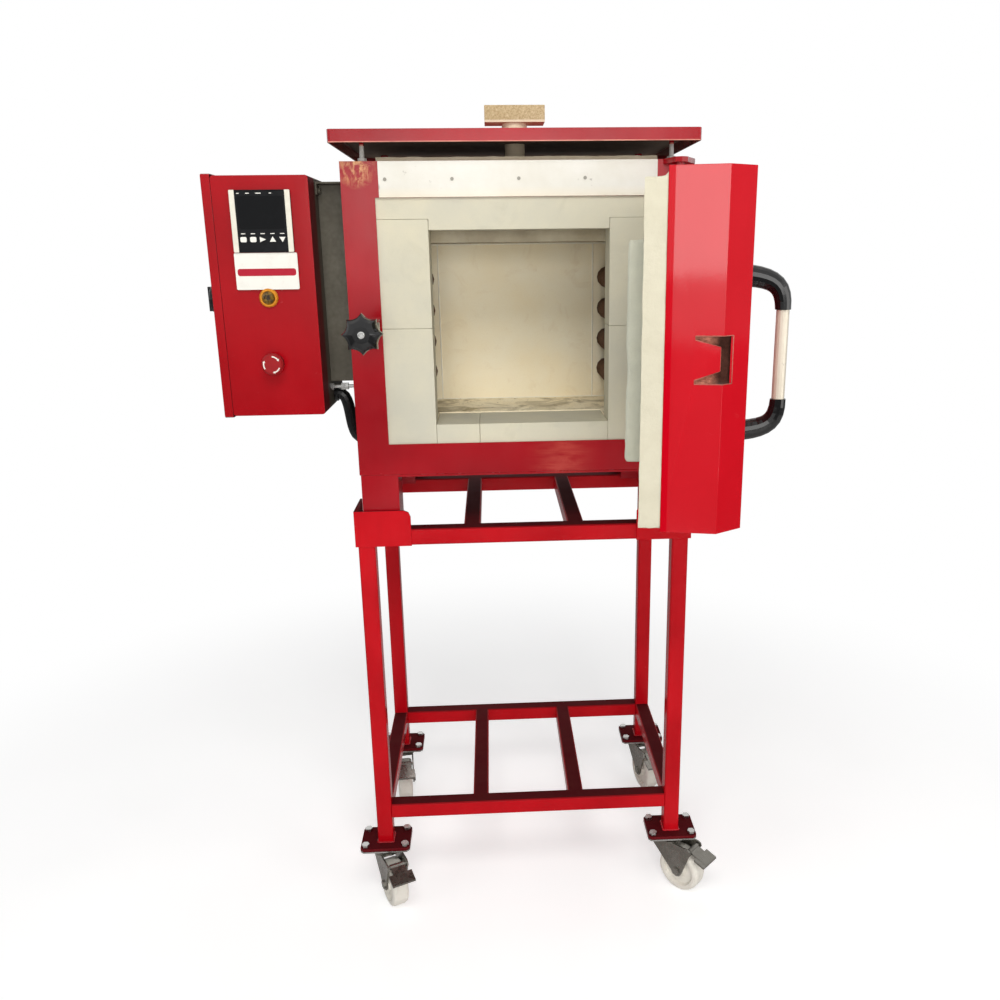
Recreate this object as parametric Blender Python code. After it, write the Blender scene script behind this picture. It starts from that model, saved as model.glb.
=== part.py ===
"""Front-loading ceramic kiln on a castored stand, with its door open.

Metres, +Z up, X to the right, Y to the back. The front of the kiln's frame is at Y = 0 while the
pieces are laid out, and a root empty then moves the whole kiln so that the origin is the middle of
its footprint on the floor. The door, latch and castors hang on empties on their own axes.
"""

import math

import bmesh
import bpy
from mathutils import Matrix, Vector

# Running gaps and facets
GAP = 0.0003
OVERRUN = 0.004
ROUND_STEPS = 16
FINE_STEPS = 20
PIN_STEPS = 12
BOLT_STEPS = 8
SHARP_DEGREES = 35.0
CORNER_STEPS = 2
TUBE_STEPS = 1

# Castors
WHEEL_RADIUS = 0.045
WHEEL_WIDTH = 0.032
WHEEL_EDGE = 0.006
WHEEL_HUB_RADIUS = 0.013
WHEEL_WEB_WIDTH = 0.018
WHEEL_RIM_DEPTH = 0.011
AXLE_RADIUS = 0.005
CASTOR_HEIGHT = 0.118
CASTOR_TRAIL = 0.032
CASTOR_PLATE = 0.003
RACE_RADIUS = 0.027
RACE_HEIGHT = 0.0055
KINGPIN_RADIUS = 0.006
KINGPIN_HEAD_RADIUS = 0.009
KINGPIN_HEAD_HEIGHT = 0.004
FORK_SHEET = 0.003
FORK_SIDE_CLEARANCE = 0.002
FORK_BACK = 0.026
FORK_FRONT = 0.064
AXLE_BOSS_RADIUS = 0.012
PEDAL_PIVOT_FORWARD = 0.056
PEDAL_PIVOT_DROP = 0.0215
PEDAL_PIN_RADIUS = 0.0032
PEDAL_SHEET = 0.004
PEDAL_REACH = 0.040
PEDAL_TREAD = 0.022
PEDAL_WIDTH = 0.046
PEDAL_SLOPE = 0.35
SWIVEL_DEGREES = {"front_left": 25.0, "front_right": 45.0, "rear_left": 6.0, "rear_right": 16.0}

# Castor plates, their pads on the legs and their bolts
PAD_WIDTH = 0.096
PAD_DEPTH = 0.072
PAD_THICKNESS = 0.006
PAD_CORNER = 0.006
BOLT_RADIUS = 0.004
BOLT_INSET = 0.010
BOLT_HEAD_RADIUS = 0.0075
BOLT_HEAD_HEIGHT = 0.006

# Stand
TUBE = 0.030
TUBE_CORNER = 0.0025
STAND_OVERHANG = 0.0105
STAND_CLEARANCE = 0.003
LOWER_RAIL_ABOVE_PAD = 0.053
UPPER_RAIL_HEIGHT = 0.737
BAR_SPACING = 0.188
SOCKET_SHEET = 0.004
SOCKET_WIDTH = 0.100
SOCKET_SIDE = 0.090
SOCKET_HEIGHT = 0.066
SOCKET_CORNER = 0.012

# Kiln casing
FRAME_WIDTH = 0.575
BODY_DEPTH = 0.390
FOOT_HEIGHT = 0.100
FOOT_WIDTH = 0.065
FOOT_WALL = 0.003
BASE_RING_WIDTH = 0.040
BASE_RING_HEIGHT = 0.004
FRAME_HEIGHT = 0.518
STILE_WIDTH = 0.054
BOTTOM_RAIL_HEIGHT = 0.054
TOP_RAIL_HEIGHT = 0.056
FRAME_SHEET = 0.003
FRAME_FLANGE = 0.040
SHELL_SHEET = 0.002
SHELL_LIP = 0.050
STRIP_SHEET = 0.0012
STRIP_SIDE_INSET = 0.061
RIVET_RADIUS = 0.003
RIVET_HEIGHT = 0.0012
RIVET_COUNT = 4
RIVET_EDGE_INSET = 0.0105

# Brickwork
JAMB_INSET = 0.0235
OPENING_HEIGHT = 0.324
SILL_ABOVE_FRAME = 0.033
BASE_BOARD = 0.0195
BRICK_LENGTH = 0.230
BRICK_WIDTH = 0.114
BRICK_THICKNESS = 0.061
LINTEL_TAIL = 0.017
LINTEL_TOP_INSET = 0.031
SILL_SPLIT_SHARE = 0.25
CHAMBER_BEYOND_OPENING = 0.051
BACK_SLAB_BEYOND_OPENING = 0.001
FLOOR_STEP = 0.002
CEILING_DROP = 0.020
BLANKET_ABOVE_FRAME = 0.011

# Heating elements
ELEMENT_RADIUS = 0.0185
ELEMENT_COUNT = 4
ELEMENT_PITCH = 0.0591
ELEMENT_FROM_FLOOR = 0.0605
ELEMENT_CENTRE_INSET = 0.0215
ELEMENT_RAIL = 0.004
ELEMENT_RAIL_EDGE = 0.010
ELEMENT_COLLAR = 0.0015
ELEMENT_COLLAR_WIDTH = 0.006
ELEMENT_END_GAP = 0.003

# Roof tray, its studs and the vent stopper
ROOF_SIDE_OVERHANG = 0.0045
ROOF_SHIFT = 0.004
ROOF_OVERHANG = 0.030
ROOF_LIFT = 0.025
ROOF_FASCIA = 0.020
ROOF_SHEET = 0.002
ROOF_CORNER = 0.006
STUD_SIDE_INSET = 0.0345
STUD_INSET = 0.022
STUD_RADIUS = 0.004
NUT_RADIUS = 0.0075
NUT_HEIGHT = 0.006
STOPPER_RADIUS = 0.018
STOPPER_SHOULDER_RADIUS = 0.0225
STOPPER_SHOULDER_HEIGHT = 0.033
STOPPER_CAP = 0.028
STOPPER_CAP_WIDTH = 0.107
STOPPER_CAP_DEPTH = 0.056
STOPPER_HOLE_CLEARANCE = 0.0015

# Door
DOOR_HEIGHT = 0.426
DOOR_RISE = 0.041
DOOR_LATCH_INSET = 0.0655
DOOR_HINGE_EDGE = 0.010
HINGE_OFFSET = 0.0295
DOOR_SEAT_GAP = 0.003
BOARD_THICKNESS = 0.028
BOARD_TOP_DROP = 0.010
BOARD_BOTTOM_RISE = 0.003
CASING_DEPTH = 0.068
CASING_CHAMFER = 0.030
CASING_SHEET = 0.002
PLUG_CLEARANCE = 0.007
PLUG_HEIGHT_CLEARANCE = 0.020
PLUG_THICKNESS = 0.025
PLUG_EDGE = 0.004
DOOR_OPEN_DEGREES = 77.0
PIN_RADIUS = 0.006
PIN_DEPTH = 0.015
PIN_CLEARANCE = 0.0005
LUG_THICKNESS = 0.008
LUG_REACH = 0.014
LUG_WIDTH = 0.044
PIN_COLLAR_RADIUS = 0.010

# Door handle
HANDLE_FROM_LATCH_EDGE = 0.102
HANDLE_SPAN = 0.193
HANDLE_TUBE_LENGTH = 0.111
HANDLE_TUBE_RADIUS = 0.008
HANDLE_STANDOFF = 0.042
HANDLE_FOOT_RADIUS = 0.0135
HANDLE_ELBOW_RADIUS = 0.0098
HANDLE_DROP = 0.006
HANDLE_STEPS = 8
HANDLE_OUT_SHARES = (0.0, 0.75, 1.0, 1.0)
HANDLE_UP_SHARES = (1.0, 0.90, 0.70, 0.0)

# Latch: a swing bolt on the left stile and a star knob
LATCH_INSET = 0.0425
LATCH_REACH = 0.022
LATCH_RISE = 0.217
LATCH_CLOSE_DEGREES = 16.5
LATCH_BOLT_RADIUS = 0.005
LATCH_EYE_RADIUS = 0.010
LATCH_EYE_HEIGHT = 0.014
LATCH_PIN_RADIUS = 0.004
LATCH_LUG = 0.004
LATCH_LUG_HALF = 0.009
LATCH_KNOB_START = 0.130
LATCH_POCKET_HEIGHT = 0.056
LATCH_POCKET_DROP = 0.006
LATCH_POCKET_START = 0.0352
LATCH_TONGUE_ROOT = 0.047
LATCH_TONGUE_TIP = 0.028
LATCH_TONGUE_LENGTH = 0.032
LATCH_TONGUE_DEGREES = 20.0
LATCH_TONGUE_CLEARANCE = 0.0015
KNOB_RADIUS = 0.0315
KNOB_VALLEY_SHARE = 0.80
KNOB_LOBES = 8
KNOB_LOBE_POINTS = 4
KNOB_HEIGHT = 0.024
KNOB_HUB_RADIUS = 0.013
KNOB_HUB_HEIGHT = 0.008

# Control box
BOX_GAP = 0.0495
BOX_WIDTH = 0.154
BOX_DEPTH = 0.200
BOX_HEIGHT = 0.386
BOX_FORWARD = 0.010
BOX_TOP_DROP = 0.0205
BOX_SHEET = 0.002
BOX_CORNER = 0.004
SIDE_DOOR_THICKNESS = 0.015
SIDE_DOOR_OVERLAP = 0.003
SIDE_DOOR_AXIS_BACK = 0.0045
KNUCKLE_RADIUS = 0.0038
KNUCKLE_HEIGHT = 0.030
KNUCKLE_INSET = 0.050
LOCK_RADIUS = 0.023
LOCK_HEIGHT = 0.016
LOCK_FROM_FRONT = 0.038
LOCK_GRIP_WIDTH = 0.009
LOCK_GRIP_HEIGHT = 0.006
LOCK_SHAFT_RADIUS = 0.006
LOCK_SHAFT_LENGTH = 0.018

# Instruments, from the box's top edge
CONTROLLER_SIZE = 0.096
CONTROLLER_DROP = 0.0705
CONTROLLER_BEZEL = 0.007
CONTROLLER_BODY = 0.090
CONTROLLER_BODY_DEPTH = 0.080
CONTROLLER_RECESS = 0.0015
CONTROLLER_SIDE_STRIP = 0.0085
KEY_COUNT = 5
KEY_RADIUS = 0.0042
KEY_RISE = 0.0007
KEY_PITCH = 0.0155
KEYS_FROM_BOTTOM = 0.020
LAMP_DROP = 0.1905
LAMP_BEZEL_RADIUS = 0.0155
LAMP_BEZEL_HEIGHT = 0.006
LAMP_LENS_RADIUS = 0.011
LAMP_LENS_HEIGHT = 0.007
BARREL_RADIUS = 0.011
BARREL_DEPTH = 0.035
STOP_DROP = 0.2975
STOP_HEAD_RADIUS = 0.018
STOP_HEAD_HEIGHT = 0.011
STOP_STANDOFF = 0.013
STOP_NECK_RADIUS = 0.0085
STOP_COLLAR_RADIUS = 0.0155
STOP_COLLAR_HEIGHT = 0.004

# Brackets and conduit between the box and the kiln
BRACKET_SHEET = 0.003
BRACKET_WIDTH = 0.025
BRACKET_BACK = 0.046
BRACKET_FLANGE = 0.020
BRACKET_TOP_DROP = 0.007
BRACKET_PLATE_RISE = 0.046
BRACKET_BOLT_RADIUS = 0.005
BRACKET_BOLT_HEIGHT = 0.004
ROD_RADIUS = 0.003
ROD_RISE = 0.038
ROD_BACK = 0.058
ROD_NUT_RADIUS = 0.0065
ROD_NUT_HEIGHT = 0.006
CONDUIT_RADIUS = 0.0105
CONDUIT_BACK = 0.100
CONDUIT_BOX_RISE = 0.020
CONDUIT_DROP = 0.083
CONDUIT_HANDLE = 0.028
CONDUIT_STEPS = 12
GLAND_RADIUS = 0.0145
GLAND_LENGTH = 0.006

# Heights and places worked out from the sizes above
PAD_TOP = CASTOR_HEIGHT + PAD_THICKNESS
LOWER_RAIL = PAD_TOP + LOWER_RAIL_ABOVE_PAD
STAND_TOP = UPPER_RAIL_HEIGHT + TUBE
FRAME_BASE = STAND_TOP + FOOT_HEIGHT
FRAME_TOP = FRAME_BASE + FRAME_HEIGHT
BRICK_EDGE_BASE = FRAME_BASE + BOTTOM_RAIL_HEIGHT
BRICK_EDGE_TOP = FRAME_TOP - TOP_RAIL_HEIGHT
OPENING_BASE = BRICK_EDGE_BASE + SILL_ABOVE_FRAME
OPENING_TOP = OPENING_BASE + OPENING_HEIGHT
HALF_FRAME = FRAME_WIDTH / 2
HALF_SHELL = HALF_FRAME - SHELL_SHEET
HALF_OPENING = HALF_FRAME - JAMB_INSET - BRICK_WIDTH
HALF_BACK_SLAB = HALF_OPENING + BACK_SLAB_BEYOND_OPENING
HALF_CHAMBER = HALF_OPENING + CHAMBER_BEYOND_OPENING
HALF_STAND = HALF_FRAME + STAND_OVERHANG
STAND_FRONT = -STAND_CLEARANCE
STAND_BACK = BODY_DEPTH + STAND_CLEARANCE
ROOF_BASE = FRAME_TOP + ROOF_LIFT
ROOF_TOP = ROOF_BASE + ROOF_FASCIA
BRICK_BASE = FRAME_BASE + SHELL_SHEET + BASE_BOARD
LINING_FRONT = FRAME_SHEET + BRICK_THICKNESS + GAP
LINING_BACK = BODY_DEPTH - FRAME_SHEET - GAP
CHAMBER_BACK = LINING_BACK - BRICK_WIDTH
SILL_BACK = FRAME_SHEET + BRICK_WIDTH
FLOOR_TOP = OPENING_BASE + FLOOR_STEP
LINTEL_BASE = OPENING_TOP + LINTEL_TAIL
LINTEL_TOP = FRAME_TOP - LINTEL_TOP_INSET
CEILING = OPENING_TOP - CEILING_DROP
STOPPER_Y = BODY_DEPTH / 2
BLANKET_TOP = FRAME_TOP + BLANKET_ABOVE_FRAME

DOOR_LATCH_EDGE = HALF_FRAME - DOOR_LATCH_INSET
LATCH_X = HALF_FRAME - LATCH_INSET
DOOR_BASE = FRAME_BASE + DOOR_RISE
DOOR_TOP = DOOR_BASE + DOOR_HEIGHT
DOOR_MIDDLE = DOOR_BASE + DOOR_HEIGHT / 2
HINGE_X = HALF_FRAME - HINGE_OFFSET
HINGE_Y = -DOOR_SEAT_GAP - BOARD_THICKNESS
LATCH_Z = DOOR_BASE + LATCH_RISE

BOX_RIGHT = -HALF_FRAME - BOX_GAP
BOX_LEFT = BOX_RIGHT - BOX_WIDTH
BOX_FRONT = -BOX_FORWARD
BOX_BACK = BOX_FRONT + BOX_DEPTH
BOX_TOP = FRAME_TOP - BOX_TOP_DROP
BOX_BASE = BOX_TOP - BOX_HEIGHT
BOX_MIDDLE_X = (BOX_LEFT + BOX_RIGHT) / 2
BOX_MIDDLE_Z = (BOX_TOP + BOX_BASE) / 2

# Paint, metal, refractory and plastic: colour, metallic and roughness
FINISHES = {
    "red_paint": ((0.42, 0.015, 0.02), 0.0, 0.35),
    "stainless": ((0.80, 0.80, 0.78), 1.0, 0.22),
    "galvanised": ((0.56, 0.56, 0.57), 1.0, 0.38),
    "front_brick": ((0.70, 0.70, 0.64), 0.0, 0.95),
    "lining_brick": ((0.66, 0.55, 0.38), 0.0, 0.95),
    "fibre": ((0.76, 0.72, 0.60), 0.0, 1.0),
    "element": ((0.10, 0.055, 0.03), 0.0, 0.8),
    "nylon": ((0.80, 0.78, 0.72), 0.0, 0.45),
    "black_plastic": ((0.012, 0.012, 0.013), 0.0, 0.25),
    "stop_red": ((0.30, 0.02, 0.02), 0.0, 0.4),
    "amber": ((0.55, 0.30, 0.04), 0.4, 0.25),
}

Z_AXIS = Vector((0, 0, 1))
TURN_TO_AXIS = {
    "X": Matrix(((0, 0, 1), (1, 0, 0), (0, 1, 0))),
    "Y": Matrix(((0, 1, 0), (0, 0, 1), (1, 0, 0))),
    "Z": Matrix.Identity(3),
}


# Shapes: each function returns a closed bmesh with its faces pointing out
def finished(shape):
    bmesh.ops.recalc_face_normals(shape, faces=shape.faces)
    return shape


def prism(outline, axis, start, end):
    """The outline, in the two directions that follow the axis (X: Y,Z; Y: Z,X; Z: X,Y), drawn from start to end."""
    shape = bmesh.new()
    turn = TURN_TO_AXIS[axis]
    rings = [[shape.verts.new(turn @ Vector((a, b, at))) for a, b in outline] for at in (start, end)]
    shape.faces.new(rings[0])
    shape.faces.new(rings[1])
    for i in range(len(outline)):
        j = (i + 1) % len(outline)
        shape.faces.new((rings[0][i], rings[0][j], rings[1][j], rings[1][i]))
    return finished(shape)


def rectangle(low_a, high_a, low_b, high_b):
    return [(low_a, low_b), (high_a, low_b), (high_a, high_b), (low_a, high_b)]


def block(low, high):
    return prism(rectangle(low[0], high[0], low[1], high[1]), "Z", low[2], high[2])


def arc(centre, radius, first, last, steps):
    """Points on an arc, with its angles in degrees."""
    angles = [math.radians(first + (last - first) * i / steps) for i in range(steps + 1)]
    return [(centre[0] + radius * math.cos(a), centre[1] + radius * math.sin(a)) for a in angles]


def rounded(low_a, high_a, low_b, high_b, radius, steps=CORNER_STEPS):
    corners = (
        (high_a - radius, high_b - radius, 0),
        (low_a + radius, high_b - radius, 90),
        (low_a + radius, low_b + radius, 180),
        (high_a - radius, low_b + radius, 270),
    )
    return [p for a, b, turn in corners for p in arc((a, b), radius, turn, turn + 90, steps)]


def circle(centre, radius, steps=ROUND_STEPS):
    return arc(centre, radius, 0, 360, steps)[:-1]


def cylinder(centre, radius, axis, start, end, steps=ROUND_STEPS):
    return prism(circle(centre, radius, steps), axis, start, end)


def loft(rings):
    """One skin over rings of equally many points, closed by a face at each end."""
    shape = bmesh.new()
    rows = [[shape.verts.new(p) for p in ring] for ring in rings]
    for low, high in zip(rows, rows[1:]):
        for i in range(len(low)):
            j = (i + 1) % len(low)
            shape.faces.new((low[i], low[j], high[j], high[i]))
    shape.faces.new(rows[0])
    shape.faces.new(rows[-1])
    return finished(shape)


def turned(profile, axis, centre=(0, 0), steps=ROUND_STEPS):
    """A solid of revolution: the profile's (radius, height) points from end to end, none on the axis."""
    turn = TURN_TO_AXIS[axis]
    rings = [[turn @ Vector((a, b, height)) for a, b in circle(centre, radius, steps)] for radius, height in profile]
    return loft(rings)


def turned_ring(profile, axis, steps=ROUND_STEPS):
    """A ring of revolution about the origin: the profile is a closed loop of (radius, height) points."""
    shape = bmesh.new()
    turn = TURN_TO_AXIS[axis]
    rows = [[shape.verts.new(turn @ Vector((a, b, h))) for a, b in circle((0, 0), r, steps)] for r, h in profile]
    for k, low in enumerate(rows):
        high = rows[(k + 1) % len(rows)]
        for i in range(steps):
            j = (i + 1) % steps
            shape.faces.new((low[i], low[j], high[j], high[i]))
    return finished(shape)


def swept(path, sizes, side, ends, steps=ROUND_STEPS):
    """A tube along the path, which starts and stops in the directions of ends.

    Its half widths along side and across it are given for each point.
    """
    rings = []
    ways = [ends[0], *[b - a for a, b in zip(path, path[2:])], ends[1]]
    for i, point in enumerate(path):
        ahead = ways[i].normalized()
        across = ahead.cross(side).normalized()
        wide, high = sizes[i]
        rings.append([point + side * wide * a + across * high * b for a, b in circle((0, 0), 1, steps)])
    return loft(rings)


# Objects: joined and cut by hidden operands that share the node's parent and place
def material(name):
    found = bpy.data.materials.get(name)
    if found:
        return found
    colour, metallic, roughness = FINISHES[name]
    made = bpy.data.materials.new(name)
    made.use_nodes = True
    shader = made.node_tree.nodes["Principled BSDF"]
    shader.inputs["Base Color"].default_value = (*colour, 1)
    shader.inputs["Metallic"].default_value = metallic
    shader.inputs["Roughness"].default_value = roughness
    made.diffuse_color = (*colour, 1)
    return made


def mesh_object(name, shape, parent, smooth):
    mesh = bpy.data.meshes.new(name)
    shape.to_mesh(mesh)
    shape.free()
    if smooth:
        mesh.shade_smooth()
        mesh.set_sharp_from_angle(angle=math.radians(SHARP_DEGREES))
    made = bpy.data.objects.new(name, mesh)
    made.parent = parent
    return made


def operands(name, shapes, parent, smooth):
    group = bpy.data.collections.new(name)
    for i, shape in enumerate(shapes):
        operand = mesh_object(f"{name}_{i}", shape, parent, smooth)
        operand.hide_render = True
        operand.display_type = "WIRE"
        group.objects.link(operand)
    bpy.context.scene.collection.children.link(group)
    return group


def node(name, finish, joined, cuts=(), parent=None, smooth=False):
    """One piece of the kiln: the joined shapes as one solid, less the cuts."""
    made = mesh_object(name, joined[0], parent or ROOT, smooth)
    bpy.context.scene.collection.objects.link(made)
    made.data.materials.append(material(finish))
    for kind, shapes in (("UNION", joined[1:]), ("DIFFERENCE", cuts)):
        if not shapes:
            continue
        modifier = made.modifiers.new(kind.lower(), "BOOLEAN")
        modifier.operation = kind
        modifier.solver = "EXACT"
        modifier.operand_type = "COLLECTION"
        modifier.collection = operands(f"{name}_{kind.lower()}", shapes, parent or ROOT, smooth)
    return made


def join(name, shapes, parent=None, smooth=False):
    """Adds shapes to a node after it has been cut."""
    later = bpy.data.objects[name].modifiers.new("added", "BOOLEAN")
    later.operation = "UNION"
    later.solver = "EXACT"
    later.operand_type = "COLLECTION"
    later.collection = operands(f"{name}_added", shapes, parent or ROOT, smooth)


def empty(name, place, parent=None, turn_z=0.0):
    made = bpy.data.objects.new(name, None)
    made.parent = parent
    made.location = place
    made.rotation_euler = (0, 0, math.radians(turn_z))
    bpy.context.scene.collection.objects.link(made)
    return made


# Stand
def corners():
    """Each leg's name, the sign of its side and whether it is at the front."""
    return [(f"{end}_{side}", -1 if side == "left" else 1, end == "front") for end in ("front", "rear") for side in ("left", "right")]


def leg_centre(side, front):
    y = STAND_FRONT + TUBE / 2 if front else STAND_BACK - TUBE / 2
    return side * (HALF_STAND - TUBE / 2), y


def bolt_places():
    return [(a * (PAD_WIDTH / 2 - BOLT_INSET), b * (PAD_DEPTH / 2 - BOLT_INSET)) for a in (-1, 1) for b in (-1, 1)]


def stand_side(name, side):
    """Two legs on their castor pads, the rails between them and the sockets that hold the kiln's feet."""
    outer = side * HALF_STAND
    inner = outer - side * TUBE
    low_x, high_x = min(outer, inner), max(outer, inner)
    shapes = []
    cuts = []
    for front in (True, False):
        x, y = leg_centre(side, front)
        shapes.append(prism(rounded(x - TUBE / 2, x + TUBE / 2, y - TUBE / 2, y + TUBE / 2, TUBE_CORNER, TUBE_STEPS), "Z", PAD_TOP - OVERRUN, STAND_TOP))
        shapes.append(prism(rounded(x - PAD_WIDTH / 2, x + PAD_WIDTH / 2, y - PAD_DEPTH / 2, y + PAD_DEPTH / 2, PAD_CORNER, TUBE_STEPS), "Z", CASTOR_HEIGHT, PAD_TOP))
        cuts += [cylinder((x + a, y + b), BOLT_RADIUS + GAP, "Z", CASTOR_HEIGHT - OVERRUN, PAD_TOP + OVERRUN, BOLT_STEPS) for a, b in bolt_places()]
        shapes += socket(side, front)
    for base in (LOWER_RAIL, STAND_TOP - TUBE):
        rail = rounded(base, base + TUBE, low_x, high_x, TUBE_CORNER, TUBE_STEPS)
        shapes.append(prism(rail, "Y", STAND_FRONT + TUBE / 2, STAND_BACK - TUBE / 2))
    return node(name, "red_paint", shapes, cuts)


def socket(side, front):
    """An upright angle outside the leg's top: a plate across the front or rear and one along the side."""
    outer = side * (HALF_STAND + SOCKET_SHEET)
    inner = outer - side * SOCKET_WIDTH
    base = STAND_TOP - TUBE
    top = base + SOCKET_HEIGHT
    face = STAND_FRONT - SOCKET_SHEET if front else STAND_BACK + SOCKET_SHEET
    inward = SOCKET_SHEET if front else -SOCKET_SHEET
    corner = [(top - SOCKET_CORNER + b * SOCKET_CORNER, inner + side * SOCKET_CORNER - side * a * SOCKET_CORNER) for a, b in arc((0, 0), 1, 0, 90, CORNER_STEPS)]
    plate = [(base, inner), *corner, (top, outer), (base, outer)]
    across = prism(plate, "Y", min(face, face + inward), max(face, face + inward))
    far = face + (SOCKET_SIDE if front else -SOCKET_SIDE)
    wall = outer - side * SOCKET_SHEET
    along = block((min(outer, wall), min(face, far), base), (max(outer, wall), max(face, far), top))
    return [across, along]


def stand_frame(name, base):
    """Front and rear rails between the legs, with two bars from front to rear."""
    reach = HALF_STAND - TUBE - GAP
    shapes = []
    for low in (STAND_FRONT, STAND_BACK - TUBE):
        shapes.append(prism(rounded(low, low + TUBE, base, base + TUBE, TUBE_CORNER, TUBE_STEPS), "X", -reach, reach))
    for x in (-BAR_SPACING / 2, BAR_SPACING / 2):
        bar = rounded(base, base + TUBE, x - TUBE / 2, x + TUBE / 2, TUBE_CORNER, TUBE_STEPS)
        shapes.append(prism(bar, "Y", STAND_FRONT + TUBE / 2, STAND_BACK - TUBE / 2))
    return node(name, "red_paint", shapes)


# Castors: in each swivel's frame the pivot is the origin on the floor and the wheel trails towards -Y
def castor(corner, side, front):
    x, y = leg_centre(side, front)
    castor_plate(corner, x, y)
    swivel = empty(f"swivel_{corner}", (x, y, 0), ROOT, SWIVEL_DEGREES[corner])
    castor_fork(corner, swivel)
    axle = empty(f"axle_{corner}", (0, -CASTOR_TRAIL, WHEEL_RADIUS), swivel)
    castor_wheel(corner, axle)
    pivot = empty(f"pedal_{corner}", (0, -PEDAL_PIVOT_FORWARD, CASTOR_HEIGHT - PEDAL_PIVOT_DROP), swivel)
    brake_pedal(corner, pivot)


def castor_plate(corner, x, y):
    """The plate and its bolts through the pad, the upper race and the king pin."""
    top = CASTOR_HEIGHT - GAP
    under = top - CASTOR_PLATE
    race = under - RACE_HEIGHT
    outline = rounded(x - PAD_WIDTH / 2, x + PAD_WIDTH / 2, y - PAD_DEPTH / 2, y + PAD_DEPTH / 2, PAD_CORNER, TUBE_STEPS)
    head = race - RACE_HEIGHT - FORK_SHEET - GAP
    shapes = [
        prism(outline, "Z", under, top),
        turned([(RACE_RADIUS - RACE_HEIGHT / 2, race), (RACE_RADIUS, race + RACE_HEIGHT / 2), (RACE_RADIUS, under + CASTOR_PLATE / 2)], "Z", (x, y), PIN_STEPS),
        cylinder((x, y), KINGPIN_RADIUS, "Z", head - KINGPIN_HEAD_HEIGHT / 2, under + CASTOR_PLATE / 2, PIN_STEPS),
        turned([(KINGPIN_RADIUS, head - KINGPIN_HEAD_HEIGHT), (KINGPIN_HEAD_RADIUS, head - KINGPIN_HEAD_HEIGHT / 2), (KINGPIN_HEAD_RADIUS, head)], "Z", (x, y), PIN_STEPS),
    ]
    for a, b in bolt_places():
        shapes.append(cylinder((x + a, y + b), BOLT_RADIUS, "Z", under + CASTOR_PLATE / 2, PAD_TOP + BOLT_HEAD_HEIGHT / 2, BOLT_STEPS))
        shapes.append(cylinder((x + a, y + b), BOLT_HEAD_RADIUS, "Z", PAD_TOP + GAP, PAD_TOP + BOLT_HEAD_HEIGHT, 6))
    node(f"castor_plate_{corner}", "galvanised", shapes)


def fork_outline():
    """Side view of a fork leg, in Y and Z: a wide shoulder that narrows to the axle and reaches out to the pedal's pin."""
    top = CASTOR_HEIGHT - GAP - CASTOR_PLATE - 2 * RACE_HEIGHT - GAP
    low = top - FORK_SHEET - AXLE_BOSS_RADIUS
    axle = (-CASTOR_TRAIL, WHEEL_RADIUS)
    pin = (-PEDAL_PIVOT_FORWARD, CASTOR_HEIGHT - PEDAL_PIVOT_DROP)
    nose = arc(pin, FORK_FRONT - PEDAL_PIVOT_FORWARD, 90, 240, CORNER_STEPS + 1)
    boss = arc(axle, AXLE_BOSS_RADIUS, 190, 350, 2 * CORNER_STEPS)
    return [(FORK_BACK, low), (FORK_BACK, top), *nose, *boss]


def castor_fork(corner, parent):
    top = CASTOR_HEIGHT - GAP - CASTOR_PLATE - RACE_HEIGHT - GAP
    web = top - RACE_HEIGHT
    leg_inner = WHEEL_WIDTH / 2 + FORK_SIDE_CLEARANCE
    leg_outer = leg_inner + FORK_SHEET
    race = RACE_RADIUS + FORK_SHEET
    shapes = [
        turned([(RACE_RADIUS, web - FORK_SHEET), (race, web - FORK_SHEET / 2), (race, web + RACE_HEIGHT / 2), (RACE_RADIUS - RACE_HEIGHT / 2, top)], "Z", (0, 0), PIN_STEPS),
        block((-leg_outer, -FORK_BACK, web - FORK_SHEET), (leg_outer, FORK_BACK, web)),
        cylinder((-CASTOR_TRAIL, WHEEL_RADIUS), AXLE_RADIUS, "X", -leg_outer - FORK_SHEET, leg_outer + FORK_SHEET, PIN_STEPS),
        cylinder((-CASTOR_TRAIL, WHEEL_RADIUS), 2 * AXLE_RADIUS - FORK_SHEET / 2, "X", -leg_outer - FORK_SHEET, -leg_inner - FORK_SHEET / 2, 6),
        cylinder((-CASTOR_TRAIL, WHEEL_RADIUS), 2 * AXLE_RADIUS - FORK_SHEET / 2, "X", leg_inner + FORK_SHEET / 2, leg_outer + FORK_SHEET, 6),
    ]
    for side in (-1, 1):
        low, high = sorted((side * leg_inner, side * leg_outer))
        shapes.append(prism(fork_outline(), "X", low, high))
    hole = cylinder((0, 0), KINGPIN_RADIUS + GAP, "Z", web - 2 * FORK_SHEET, top + OVERRUN, PIN_STEPS)
    pin = (-PEDAL_PIVOT_FORWARD, CASTOR_HEIGHT - PEDAL_PIVOT_DROP)
    shapes.append(cylinder(pin, PEDAL_PIN_RADIUS, "X", -leg_inner - FORK_SHEET / 2, leg_inner + FORK_SHEET / 2, PIN_STEPS))
    node(f"castor_fork_{corner}", "galvanised", shapes, [hole], parent)


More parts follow.
